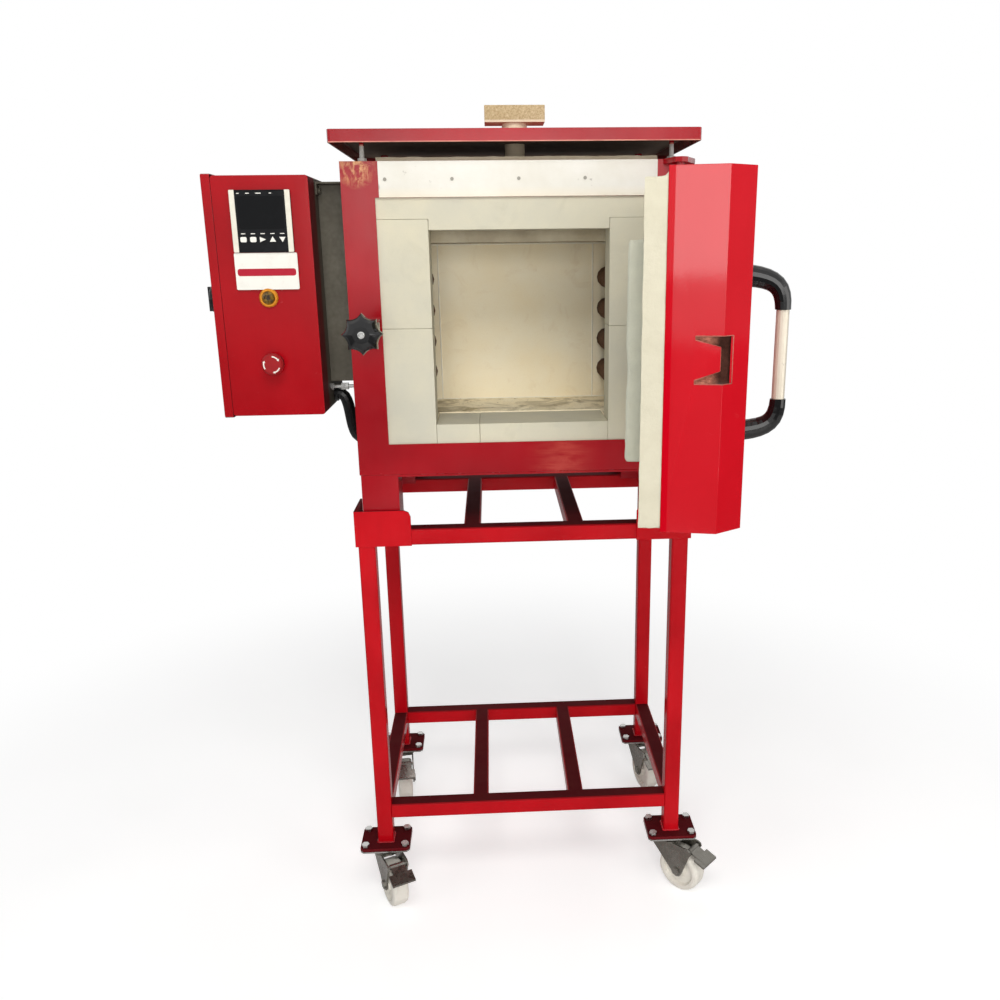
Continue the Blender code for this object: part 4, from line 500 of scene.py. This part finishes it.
def frame_patch_and_sheen(g, colour, rough):
    """A ragged pale cream patch at the frame's top corner, and a painted sheen on its lower rail."""
    corner = (FRAME_LOW.x + 0.026, FRAME_HIGH.z - 0.010)
    near = g.remap(g.distance(corner, "XZ"), 0.012, 0.034, 1.0, 0.0)
    ragged = g.remap(g.noise(60.0, 6.0, 0.72, g.stretched((1.6, 1.0, 0.8)), 0.9), 0.44, 0.60)
    pale_corner = g.maths("MULTIPLY", g.maths("MULTIPLY", near, ragged), 0.62)
    colour = g.blend(pale_corner, colour, srgb(236, 190, 128))
    # Painted sheen: a soft pinkish patch on the lower rail.
    middle = (FRAME_LOW.x * 0.38 + FRAME_HIGH.x * 0.62, FRAME_LOW.z + 0.026)
    sheen_patch = g.remap(g.distance(middle, "XZ"), 0.002, 0.075, 0.34, 0.0, True)
    painted_light = g.remap(g.noise(16.0, 4.0, 0.6, g.stretched((1.0, 1.0, 5.0)), 0.5), 0.35, 0.65)
    return g.blend(g.maths("MULTIPLY", sheen_patch, painted_light), colour, srgb(222, 106, 88)), rough


def box_side_shade_and_olive(g, colour, rough):
    """The box's kiln side and back: dark maroon painted shade on the faces that look away, olive grey beyond
    the cover's depth, and dark maroon painted shade on what looks down.
    """
    depth = g.axes()[1]
    start = BOX_FRONT + COVER_DEPTH
    away = g.maths("MAXIMUM", g.facing("X"), g.facing("Y"))
    # Painted shade: the faces that look away go dark maroon.
    shaded = g.maths("MULTIPLY", away, g.remap(g.noise(30.0, 4.0, 0.6), 0.2, 0.9, 0.75, 1.0))
    colour = g.blend(shaded, colour, srgb(66, 8, 14))
    olive_grey = g.blend(g.noise(24.0, 5.0, 0.6), srgb(96, 90, 78), srgb(70, 66, 58))
    behind = g.maths("MULTIPLY", away, g.remap(depth, start, start + 0.004))
    colour = g.blend(behind, colour, olive_grey)
    rough = g.maths("ADD", rough, g.maths("MULTIPLY", away, 0.35), True)
    # Painted shade: what looks down goes dark maroon.
    under = g.facing("Z", -1.0)
    return g.blend(g.maths("MULTIPLY", under, 0.6), colour, srgb(60, 6, 12)), rough


def roof_shade_and_lip_highlight(g, colour, rough):
    """Brown painted shade under the roof, a pale painted highlight along the lip, and plated studs."""
    under = g.facing("Z", -1.0)
    # Painted shade: what looks down under the roof goes brown.
    underside_shade = g.blend(g.noise(14.0, 5.0, 0.6), srgb(146, 124, 104), srgb(86, 66, 54))
    colour = g.blend(under, colour, underside_shade)
    lip = g.band(g.axes()[2], SKIRT_BASE - 0.0001, SKIRT_BASE + 0.0016)
    # Painted highlight: a pale pink line along the lip's lower edge.
    lip = g.maths("MULTIPLY", lip, g.facing("Y", -1.0))
    painted_light = g.remap(g.noise(20.0, 4.0, 0.6), 0.3, 0.6, 0.25, 0.8)
    colour = g.blend(g.maths("MULTIPLY", lip, painted_light), colour, srgb(236, 166, 146))
    studs = g.remap(g.axes()[2], SKIRT_BASE - 0.0002, SKIRT_BASE - 0.0006)
    plated = g.blend(g.noise(300.0, 3.0, 0.6), srgb(206, 204, 198), srgb(150, 148, 142))
    colour = g.blend(studs, colour, plated)
    return colour, g.maths("ADD", rough, g.maths("MULTIPLY", under, 0.5), True)


def castor_pads(g, colour, rough):
    """Deep maroon pads at the foot of the legs, outside the legs themselves."""
    low = g.remap(g.axes()[2], PAD_TOP + 0.0005, PAD_TOP - 0.0005)
    return g.blend(g.maths("MULTIPLY", low, 0.9), colour, srgb(74, 8, 16)), rough


# Local colour and painted shade on brick, fibre and steel
def chamber_stains(g, colour):
    """Brown spills and dust on the chamber's floor, and painted shade on the ceiling and the front-facing
    band above it.
    """
    floor = g.facing("Z")
    # Painted shade: the ceiling and the band above it go grey-brown.
    ceiling_shade = g.remap(g.noise(20.0, 4.0, 0.6), 0.2, 0.8, 0.55, 0.8)
    above = g.remap(g.axes()[2], CEILING_HEIGHT - 0.0004, CEILING_HEIGHT)
    step = g.maths("MULTIPLY", g.facing("Y", -1.0), above)
    ceiling = g.maths("MAXIMUM", g.facing("Z", -1.0), step)
    colour = g.blend(g.maths("MULTIPLY", ceiling, ceiling_shade), colour, srgb(96, 84, 66))
    spill = g.remap(g.noise(13.0, 6.0, 0.62, None, 1.4), 0.46, 0.66, 0.0, 0.75)
    colour = g.blend(g.maths("MULTIPLY", floor, spill), colour, srgb(150, 134, 98))
    specks = g.remap(g.noise(120.0, 4.0, 0.7), 0.62, 0.68, 0.0, 0.8)
    return g.blend(g.maths("MULTIPLY", floor, specks), colour, srgb(112, 84, 50))


def raw_cut_and_pocket_shade(g, colour):
    """Raw pinkish fibre behind the latch pocket, and dark brown painted shade further back in the pocket."""
    depth = door_depth(g)
    torn = g.remap(g.noise(150.0, 5.0, 0.7), 0.35, 0.65)
    torn = g.blend(torn, srgb(206, 134, 112), srgb(120, 70, 56))
    colour = g.blend(g.remap(depth, -0.0340, -0.0346), colour, torn)
    # Painted shade: dark brown further back in the pocket.
    painted_light = g.remap(depth, -0.050, -0.064, 0.0, 0.92)
    return g.blend(painted_light, colour, srgb(46, 24, 18))


def coarse_grain(g, colour):
    """Coarse sandy grain, with a paler run along the cap's lower edge."""
    grains = g.remap(g.noise(340.0, 4.0, 0.75), 0.46, 0.62, 0.0, 0.55)
    colour = g.blend(grains, colour, srgb(146, 116, 74))
    pale = g.remap(g.noise(210.0, 3.0, 0.7), 0.52, 0.66, 0.0, 0.5)
    colour = g.blend(pale, colour, srgb(226, 212, 176))
    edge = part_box("vent_stopper")[1].z - STOPPER_CAP
    rim = g.remap(g.axes()[2], edge + 0.0045, edge + 0.0030)
    return g.blend(g.maths("MULTIPLY", rim, 0.8), colour, srgb(240, 226, 200))


def strip_rivets(g, colour):
    """Grey rivet heads and a beige cast along the strip's lower edge."""
    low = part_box("heat_strip")[0]
    _, depth, height = g.axes()
    heads = g.remap(depth, low.y + 0.0010, low.y + 0.0008)
    beige = g.remap(height, low.z + 0.016, low.z, 0.0, 0.35)
    colour = g.blend(beige, colour, srgb(222, 204, 168))
    return g.blend(heads, colour, srgb(136, 132, 122))


# Materials
# The one red paint gets a lighter colour on the door and the stand than on the frame, box and roof, as
# painted light.
RED = red_paint("red_gloss", srgb(168, 14, 27), srgb(142, 8, 20), tint=frame_patch_and_sheen)
RED_BOX = red_paint(
    "red_box", srgb(168, 10, 22), srgb(148, 6, 16), chips=0.4, dust=0.2, tint=box_side_shade_and_olive, gloss=0.24
)
RED_ROOF = red_paint("red_roof", srgb(164, 16, 28), srgb(140, 9, 21), dust=0.4, tint=roof_shade_and_lip_highlight)
RED_DOOR = red_paint(
    "red_door",
    srgb(186, 16, 30),
    srgb(176, 8, 22),
    chips=0.35,
    dust=0.15,
    tint=fold_shade,
    gloss=door_gloss,
    polish=(0.05, 0.09),
)
RED_STAND = red_paint(
    "red_stand",
    srgb(200, 16, 28),
    srgb(170, 6, 18),
    chips=0.7,
    dust=0.12,
    # Painted shade on the stand's tops, where the kiln above shades them.
    painted_shade=0.93,
    tint=castor_pads,
    gloss=0.14,
)
FRONT_BRICK = brick("front_brick", srgb(198, 195, 179), srgb(212, 206, 183), srgb(168, 164, 146), 0.30)
LINING = brick(
    "lining_brick", srgb(249, 236, 203), srgb(251, 244, 220), srgb(204, 172, 126), 0.36, tint=chamber_stains
)
STOPPER = brick(
    "stopper_brick", srgb(196, 178, 138), srgb(208, 192, 154), srgb(150, 126, 86), 0.5, 1.4, coarse_grain
)
FIBRE = fibre("fibre_blanket", srgb(222, 212, 188), srgb(192, 176, 146))
BOARD = fibre("fibre_board", srgb(203, 198, 178), srgb(187, 181, 160), raw_cut_and_pocket_shade)
PLUG = fibre("plug_board", srgb(204, 204, 186), srgb(182, 184, 170))
SHELL = sheet_metal(
    "shell_sheet", srgb(112, 108, 98), srgb(90, 86, 76), 0.55, (0.38, 0.52), (1.0, 1.0, 6.0), 0.12
)
STRIP = sheet_metal(
    "strip_steel",
    srgb(216, 214, 207),
    srgb(202, 198, 186),
    0.10,
    (0.26, 0.36),
    (1.0, 1.0, 9.0),
    tint=strip_rivets,
)
ZINC = sheet_metal("zinc_plate", srgb(214, 214, 212), srgb(172, 172, 168), 1.0, (0.18, 0.36), spangle=0.30)
FORK = sheet_metal("fork_zinc", srgb(158, 156, 150), srgb(104, 100, 92), 0.9, (0.18, 0.38), spangle=0.40)
PLATE = sheet_metal("bracket_steel", srgb(104, 100, 88), srgb(78, 74, 64), 0.35, (0.40, 0.60), spangle=0.25)
ELEMENT = sheet_metal(
    "element_oxide", srgb(92, 62, 42), srgb(56, 36, 24), 0.25, (0.6, 0.85), (1.0, 25.0, 1.0)
)
WIRE = sheet_metal("element_wire", srgb(108, 74, 50), srgb(60, 40, 28), 0.3, (0.55, 0.8))
BLACK = plastic("black_plastic", srgb(14, 14, 15), srgb(40, 40, 41))
GLOSS_BLACK = plastic("gloss_black", srgb(12, 12, 13), srgb(34, 34, 35), (0.07, 0.16), 0.2, 0.5)
NYLON = plastic("nylon_wheel", srgb(234, 230, 220), srgb(190, 184, 170), (0.34, 0.55))
TUBE = sheet_metal(
    "handle_alloy", srgb(222, 214, 198), srgb(196, 188, 170), 0.3, (0.30, 0.44), (1.0, 1.0, 12.0)
)
PRINT = plastic("white_print", srgb(232, 230, 222), srgb(204, 200, 190), (0.35, 0.5))
BAND = plastic("red_band", srgb(170, 26, 48), srgb(140, 18, 38), (0.35, 0.5))
MORTAR = brick("mortar", srgb(244, 238, 220), srgb(248, 244, 230), srgb(214, 200, 170), 0.2, 1.2)
WELD_PAINT = red_paint("weld_paint", srgb(196, 30, 42), srgb(140, 8, 20), chips=0.2, dust=0.2)
GLASS = plastic("window_glass", srgb(8, 9, 11), srgb(20, 22, 26), (0.05, 0.12), 0.1, 0.16)
STOP_RED = plastic("stop_red", srgb(150, 26, 30), srgb(120, 16, 22), (0.3, 0.45))
TORN = sheet_metal("torn_edge", srgb(206, 120, 104), srgb(132, 60, 52), 0.3, (0.3, 0.5), spangle=0.3)


def dress(material, *names):
    for name in names:
        slots = NODES[name].data.materials
        slots.clear()
        slots.append(material)


dress(RED, "front_frame", "base_feet")
dress(RED_BOX, "control_box", "side_door")
dress(RED_ROOF, "roof_tray")
dress(RED_DOOR, "door_casing")
dress(RED_STAND, "stand_side_left", "stand_side_right", "stand_lower_frame", "stand_upper_frame")
dress(FRONT_BRICK, *[name for name in NODES if name.startswith("brick_")])
dress(LINING, *[name for name in NODES if name.startswith("lining_")])
dress(FIBRE, "top_blanket", "base_board")
dress(STOPPER, "vent_stopper")
dress(BOARD, "door_insulation")
dress(PLUG, "door_plug")
dress(SHELL, "body_shell", "rear_panel")
dress(STRIP, "heat_strip")
dress(ELEMENT, "heating_bank_left", "heating_bank_right")
dress(TUBE, "handle_tube")
dress(GLOSS_BLACK, "handle_end_upper", "handle_end_lower", "star_knob")
dress(BLACK, "lock_knob", "conduit")
dress(instrument("instrument"), "controller")
dress(ZINC, "latch_bolt", "bracket_lower")
dress(PLATE, "bracket_upper")
for corner in CORNERS:
    dress(ZINC, f"castor_plate_{corner}")
    dress(FORK, f"castor_fork_{corner}", f"brake_pedal_{corner}")
    dress(NYLON, f"castor_wheel_{corner}")
dress(lamp_lens("lamp_amber"), "pilot_lamp")
dress(STOP_RED, "emergency_stop")


# Changes to the look of the CAD pieces' surfaces
def ease_edges(names, width):
    """Small rounded edges that catch the light."""
    for name in names:
        node = NODES[name]
        weld = node.modifiers.new("weld", "WELD")
        weld.merge_threshold = WELD_DISTANCE
        bevel = node.modifiers.new("bevel", "BEVEL")
        bevel.width = width
        bevel.segments = EDGE_SEGMENTS
        bevel.limit_method = "ANGLE"
        bevel.angle_limit = EDGE_ANGLE
        bevel.use_clamp_overlap = False
        node.modifiers.new("normals", "WEIGHTED_NORMAL")


def soften(name, depth, size):
    """Fibre surfaces wander inward a little; nothing stands out past the solid."""
    node = NODES[name]
    remesh = node.modifiers.new("remesh", "REMESH")
    remesh.mode = "VOXEL"
    remesh.voxel_size = FIBRE_VOXEL
    clouds = bpy.data.textures.new(f"{name}_lumps", "CLOUDS")
    clouds.noise_scale = size
    clouds.noise_depth = 3
    lumps = node.modifiers.new("lumps", "DISPLACE")
    lumps.texture = clouds
    lumps.texture_coords = "LOCAL"
    lumps.mid_level = 1.0
    lumps.strength = depth


ease_edges(("door_casing", "control_box", "side_door", "roof_tray"), CASING_EDGE)
ease_edges(("front_frame",), FRAME_EDGE)
ease_edges(("stand_lower_frame", "stand_upper_frame", "stand_side_left", "stand_side_right"), STAND_EDGE)
ease_edges(("base_feet",), STAND_EDGE)
ease_edges([name for name in NODES if name.startswith(("brick_", "lining_"))], BRICK_EDGE)
ease_edges(("controller", "bracket_upper", "vent_stopper"), SMALL_EDGE)
soften("door_insulation", 0.0026, 0.035)
soften("door_plug", 0.0050, 0.045)
soften("top_blanket", 0.0030, 0.030)


# Helpers for the detail pieces, each a mesh of its own
def piece(name, body, material, build, smooth=False):
    shape = bmesh.new()
    build(shape)
    bmesh.ops.recalc_face_normals(shape, faces=shape.faces)
    mesh = bpy.data.meshes.new(name)
    shape.to_mesh(mesh)
    shape.free()
    if smooth:
        mesh.shade_smooth()
    made = bpy.data.objects.new(name, mesh)
    bpy.context.scene.collection.objects.link(made)
    mesh.materials.append(material)
    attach(made, body)


def slab(shape, outline, front, back):
    """A flat shape in the upright plane across the kiln, from front to back."""
    rows = [[shape.verts.new((x, y, z)) for x, z in outline] for y in (front, back)]
    shape.faces.new(rows[0])
    shape.faces.new(rows[1][::-1])
    for i in range(len(outline)):
        j = (i + 1) % len(outline)
        shape.faces.new((rows[0][i], rows[0][j], rows[1][j], rows[1][i]))


def rounded(x, z, width, height, radius, steps=4):
    """The outline of a rectangle with rounded corners."""
    points = []
    for turn, (a, b) in enumerate(((1, 1), (-1, 1), (-1, -1), (1, -1))):
        for i in range(steps + 1):
            angle = math.radians(90 * (turn + i / steps))
            across = a * (width / 2 - radius) + radius * math.cos(angle)
            up = b * (height / 2 - radius) + radius * math.sin(angle)
            points.append((x + across, z + up))
    return points


def swept(shape, points, radii, reference, sides=6):
    """A tube along points, with its own radius at each of them."""
    rings = []
    last = len(points) - 1
    for i, point in enumerate(points):
        ahead = (points[min(i + 1, last)] - points[max(i - 1, 0)]).normalized()
        across = ahead.cross(reference).normalized()
        up = across.cross(ahead)
        ring = []
        for k in range(sides):
            angle = math.tau * k / sides
            side = across * math.cos(angle) + up * math.sin(angle)
            ring.append(shape.verts.new(point + side * radii[i]))
        rings.append(ring)
    for first, second in zip(rings, rings[1:]):
        for k in range(sides):
            m = (k + 1) % sides
            shape.faces.new((first[k], first[m], second[m], second[k]))
    shape.faces.new(rings[0])
    shape.faces.new(rings[-1][::-1])


def bead(shape, start, end, radius, reference, step=0.004):
    """An uneven run of mortar or weld from start to end."""
    run = end - start
    count = max(4, int(run.length / step))
    points = []
    radii = []
    for i in range(count + 1):
        wave = math.sin(i * 1.7 + start.x * 90) + 0.6 * math.sin(i * 0.61 + start.z * 70)
        points.append(start + run * (i / count))
        radii.append(radius * (1 + 0.18 * wave))
    swept(shape, points, radii, reference)


def at(x, y, z):
    """A place measured from the middle of the front frame."""
    return Vector((x, y, z)) + SHIFT


def door_place(x, y, z):
    """A place on the closed door, carried to where the open door stands at rest."""
    turn = math.radians(DOOR_OPEN_DEGREES)
    across = x * math.cos(turn) - y * math.sin(turn)
    depth = x * math.sin(turn) + y * math.cos(turn)
    return HINGE + Vector((across, depth, z))


# Detail pieces
def key_glyphs(shape):
    front, back = SUNK - KEY_PROUD, SUNK + PRINT_THICK
    for i in (-2, -1):
        outline = rounded(FACE_X + KEY_PITCH * i, KEY_Z, KEY_WIDTH, KEY_HEIGHT, KEY_CORNER)
        slab(shape, outline, front, back)
    for i, points in KEY_ARROWS:
        middle = FACE_X + KEY_PITCH * i
        slab(shape, [(middle + a * KEY_WIDTH, KEY_Z + b * KEY_HEIGHT) for a, b in points], front, back)


def print_marks(shape):
    """Plain dashes where the instrument's small print would be."""
    dashes = [(across, KEY_Z + rise, width) for rise, places, width in PRINT_ROWS for across in places]
    dashes += [(across, FACE_HIGH.z - TOP_PRINT_DROP, width) for across, width in TOP_PRINT]
    for across, height, width in dashes:
        outline = rounded(FACE_X + across, height, width, PRINT_HEIGHT, PRINT_CORNER, PRINT_STEPS)
        slab(shape, outline, SUNK - PRINT_THICK, SUNK + PRINT_THICK)


def window(shape):
    outline = rounded(FACE_X, FACE_HIGH.z - WINDOW_DROP, *WINDOW_SIZE, WINDOW_CORNER)
    slab(shape, outline, SUNK - WINDOW_PROUD, SUNK + PRINT_THICK)


def label(shape):
    outline = rounded(LABEL_X, LABEL_Z, *LABEL_SIZE, LABEL_CORNER)
    slab(shape, outline, BOX_FRONT - LABEL_PROUD, BOX_FRONT + LABEL_SUNK)


def label_band(shape):
    outline = rounded(LABEL_X, LABEL_Z - BAND_DROP, *BAND_SIZE, BAND_CORNER)
    slab(shape, outline, BOX_FRONT - BAND_PROUD, BOX_FRONT)


def turn_arrows(shape):
    """Three arrows that show which way the button turns to release."""
    for middle in ARROW_DEGREES:
        sweep = [middle + ARROW_HALF - 2 * ARROW_HALF * i / ARROW_STEPS for i in range(ARROW_STEPS + 1)]
        angles = [math.radians(degrees) for degrees in sweep]
        tip = math.radians(middle - ARROW_HALF - ARROW_HEAD)
        points = [(ARROW_OUTER, angle) for angle in angles]
        points.append((ARROW_OUTER + ARROW_BARB, angles[-1]))
        points.append(((ARROW_OUTER + ARROW_INNER) / 2, tip))
        points.append((ARROW_INNER - ARROW_BARB, angles[-1]))
        points += [(ARROW_INNER, angle) for angle in reversed(angles)]
        x, z = STOP_CENTRE
        outline = [(x + r * math.cos(angle), z + r * math.sin(angle)) for r, angle in points]
        slab(shape, outline, STOP_LOW.y - ARROW_PROUD, STOP_LOW.y + ARROW_SUNK)


def knob_insert(shape):
    """The bright threaded insert and its washer in the knob's face."""
    rings = []
    for radius, depth in INSERT_PROFILE:
        ring = []
        for k in range(INSERT_SIDES if radius else 1):
            angle = math.tau * k / INSERT_SIDES
            place = Vector((radius * math.cos(angle), depth, radius * math.sin(angle)))
            ring.append(shape.verts.new(KNOB_CENTRE + place))
        rings.append(ring)
    for first, second in zip(rings, rings[1:]):
        for k in range(INSERT_SIDES):
            m = (k + 1) % INSERT_SIDES
            if len(first) == 1:
                shape.faces.new((first[0], second[k], second[m]))
            else:
                shape.faces.new((first[k], second[k], second[m], first[m]))
    shape.faces.new(rings[-1])


def torn_lips(shape):
    """Ragged bare edges where the tongue was cut out of the casing and bent in."""

    def lip(start, end, reference):
        bead(shape, door_place(*start), door_place(*end), TORN_RADIUS, Vector(reference), TORN_STEP)

    for height, root, tip in POCKET_HEIGHTS:
        rim = (POCKET_WALL, POCKET_RIM, height)
        lip((POCKET_WALL, POCKET_EDGE, height), rim, (0, 0, 1))
        lip(rim, (*POCKET_CORNER, height), (0, 0, 1))
        lip((POCKET_WALL, POCKET_EDGE, root), (*TONGUE_TIP, tip), (1, 0, 0))
    (high, _, high_tip), (low, _, low_tip) = POCKET_HEIGHTS
    lip((*POCKET_CORNER, low), (*POCKET_CORNER, high), (1, 0, 0))
    lip((*TONGUE_TIP, low_tip), (*TONGUE_TIP, high_tip), (1, 0, 0))


def coil(shape, centre_x, height, start, end):
    """Resistance wire wound on an element tube that runs back into the chamber."""
    count = int((end - start) / COIL_PITCH * COIL_STEPS)
    points = []
    for i in range(count + 1):
        angle = math.tau * i / COIL_STEPS
        x = centre_x + COIL_RADIUS * math.cos(angle)
        z = height + COIL_RADIUS * math.sin(angle)
        points.append(Vector((x, start + (end - start) * i / count, z)))
    swept(shape, points, [WIRE_RADIUS] * len(points), Vector((0, 1, 0)), WIRE_SIDES)


def mortar(shape):
    """Beads in the chamber's back corners, and along the back wall's top and foot."""
    y = CHAMBER_BACK - BEAD_PROUD
    top, foot = CEILING_HEIGHT - TOP_BEAD_DROP, FLOOR_HEIGHT + FOOT_BEAD_RISE
    for x in (-BACK_SLAB_HALF, BACK_SLAB_HALF):
        start, end = at(x, y, FLOOR_HEIGHT), at(x, y, CEILING_HEIGHT - CORNER_BEAD_DROP)
        bead(shape, start, end, CORNER_BEAD, Vector((1, 0, 0)))
    for height, radius in ((top, TOP_BEAD), (foot, FOOT_BEAD)):
        start, end = at(-CHAMBER_HALF, y, height), at(CHAMBER_HALF, y, height)
        bead(shape, start, end, radius, Vector((0, 0, 1)))


def welds(shape):
    """Weld runs round the legs' feet."""
    height = PAD_TOP + WELD_RISE
    up = Vector((0, 0, 1))
    for x in (-LEG_X, LEG_X):
        for y in LEG_DEPTHS:
            corners = [(x + a * LEG_HALF, y + b * LEG_HALF) for a, b in ((-1, -1), (1, -1), (1, 1), (-1, 1))]
            for first, second in zip(corners, corners[1:] + corners[:1]):
                bead(shape, at(*first, height), at(*second, height), WELD_RADIUS, up, WELD_STEP)


piece("controller_keys", "kiln", PRINT, key_glyphs)
piece("controller_marks", "kiln", PRINT, print_marks)
piece("controller_window", "kiln", GLASS, window)
piece("blank_label", "kiln", PRINT, label)
piece("blank_label_band", "kiln", BAND, label_band)
piece("stop_arrows", "stop", PRINT, turn_arrows)
piece("knob_insert", "knob", ZINC, knob_insert, True)
piece("pocket_torn_edges", "door", TORN, torn_lips, True)
for word, side in (("left", -1), ("right", 1)):
    bank_low, bank_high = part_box(f"heating_bank_{word}")
    wall = bank_low.x if side < 0 else bank_high.x
    axis_x = wall - side * TUBE_FROM_WALL
    for number in range(TUBE_COUNT):
        height = (bank_low.z + bank_high.z) / 2 + TUBE_PITCH * (number - (TUBE_COUNT - 1) / 2)
        piece(
            f"element_coil_{word}_{number + 1}",
            "kiln",
            WIRE,
            lambda shape: coil(shape, axis_x, height, bank_low.y + COIL_END, bank_high.y - COIL_END),
            True,
        )
piece("chamber_mortar", "kiln", MORTAR, mortar, True)
piece("stand_welds", "kiln", WELD_PAINT, welds, True)


# Camera, floor and light
def aim_camera():
    data = bpy.data.cameras.new("camera")
    data.lens = CAMERA_LENS
    data.sensor_width = CAMERA_SENSOR
    data.shift_x = CAMERA_SHIFT
    made = bpy.data.objects.new("camera", data)
    bpy.context.scene.collection.objects.link(made)
    yaw, pitch, roll = (math.radians(v) for v in (CAMERA_YAW, CAMERA_PITCH, CAMERA_ROLL))
    ahead = Vector((math.sin(yaw) * math.cos(pitch), math.cos(yaw) * math.cos(pitch), -math.sin(pitch)))
    side = Vector((math.cos(yaw), -math.sin(yaw), 0))
    up = side.cross(ahead)
    right = side * math.cos(roll) + up * math.sin(roll)
    above = up * math.cos(roll) - side * math.sin(roll)
    turn = Matrix((right, above, -ahead)).transposed().to_4x4()
    made.matrix_world = Matrix.Translation(Vector(CAMERA_PLACE) + SHIFT) @ turn
    bpy.context.scene.camera = made


def lamp(name, place, target, size, power, colour, mirrored):
    data = bpy.data.lights.new(name, "AREA")
    data.shape = "RECTANGLE"
    data.size, data.size_y = size
    data.energy = power
    data.color = colour
    made = bpy.data.objects.new(name, data)
    made.location = place
    made.visible_glossy = mirrored
    made.rotation_mode = "QUATERNION"
    made.rotation_quaternion = (Vector(target) - Vector(place)).to_track_quat("-Z", "Y")
    bpy.context.scene.collection.objects.link(made)


def stage():
    """A floor that keeps the shadow near the object and runs out to the white of the background."""
    mesh = bpy.data.meshes.new("floor")
    corners = [(a * FLOOR_REACH, b * FLOOR_REACH, 0) for a, b in ((-1, -1), (1, -1), (1, 1), (-1, 1))]
    mesh.from_pydata(corners, [], [(0, 1, 2, 3)])
    floor = bpy.data.objects.new("floor", mesh)
    bpy.context.scene.collection.objects.link(floor)
    g = Graph("floor")
    rays = g.add("ShaderNodeLightPath").outputs["Is Camera Ray"]
    away = g.remap(g.distance((0.0, 0.15), "XY"), 0.7, 1.8, 0.0, 1.0, True)
    tone = g.remap(g.noise(3.0, 3.0, 0.5), 0.3, 0.7, 0.78, 0.82)
    tone = g.maths("MULTIPLY", tone, g.maths("SUBTRACT", 1.0, g.maths("MULTIPLY", away, rays)))
    colour = g.add("ShaderNodeCombineColor", None, {"Red": tone, "Green": tone, "Blue": tone}).outputs[0]
    glow = g.maths("MULTIPLY", rays, g.remap(away, 0.0, 1.0, 0.46, 1.0))
    g.set(Base_Color=colour, Roughness=0.9, Specular_IOR_Level=0.0)
    g.set(Emission_Color=(1, 1, 1, 1), Emission_Strength=glow)
    mesh.materials.append(g.material)


def world():
    """White where the camera, gloss and glass look past the object, softer as light."""
    made = bpy.data.worlds.new("studio")
    bpy.context.scene.world = made
    made.use_nodes = True
    tree = made.node_tree
    back = tree.nodes["Background"]
    path = tree.nodes.new("ShaderNodeLightPath")
    seen = path.outputs["Is Camera Ray"]
    for kind in ("Is Glossy Ray", "Is Transmission Ray"):
        more = tree.nodes.new("ShaderNodeMath")
        more.operation = "MAXIMUM"
        tree.links.new(seen, more.inputs[0])
        tree.links.new(path.outputs[kind], more.inputs[1])
        seen = more.outputs[0]
    level = tree.nodes.new("ShaderNodeMapRange")
    level.inputs["To Min"].default_value = WORLD_LIGHT
    level.inputs["To Max"].default_value = 1.0
    tree.links.new(seen, level.inputs["Value"])
    tree.links.new(level.outputs["Result"], back.inputs["Strength"])
    back.inputs["Color"].default_value = (1, 1, 1, 1)


aim_camera()
stage()
world()
for values in LAMPS:
    lamp(*values)

bpy.context.scene.view_settings.view_transform = "Standard"
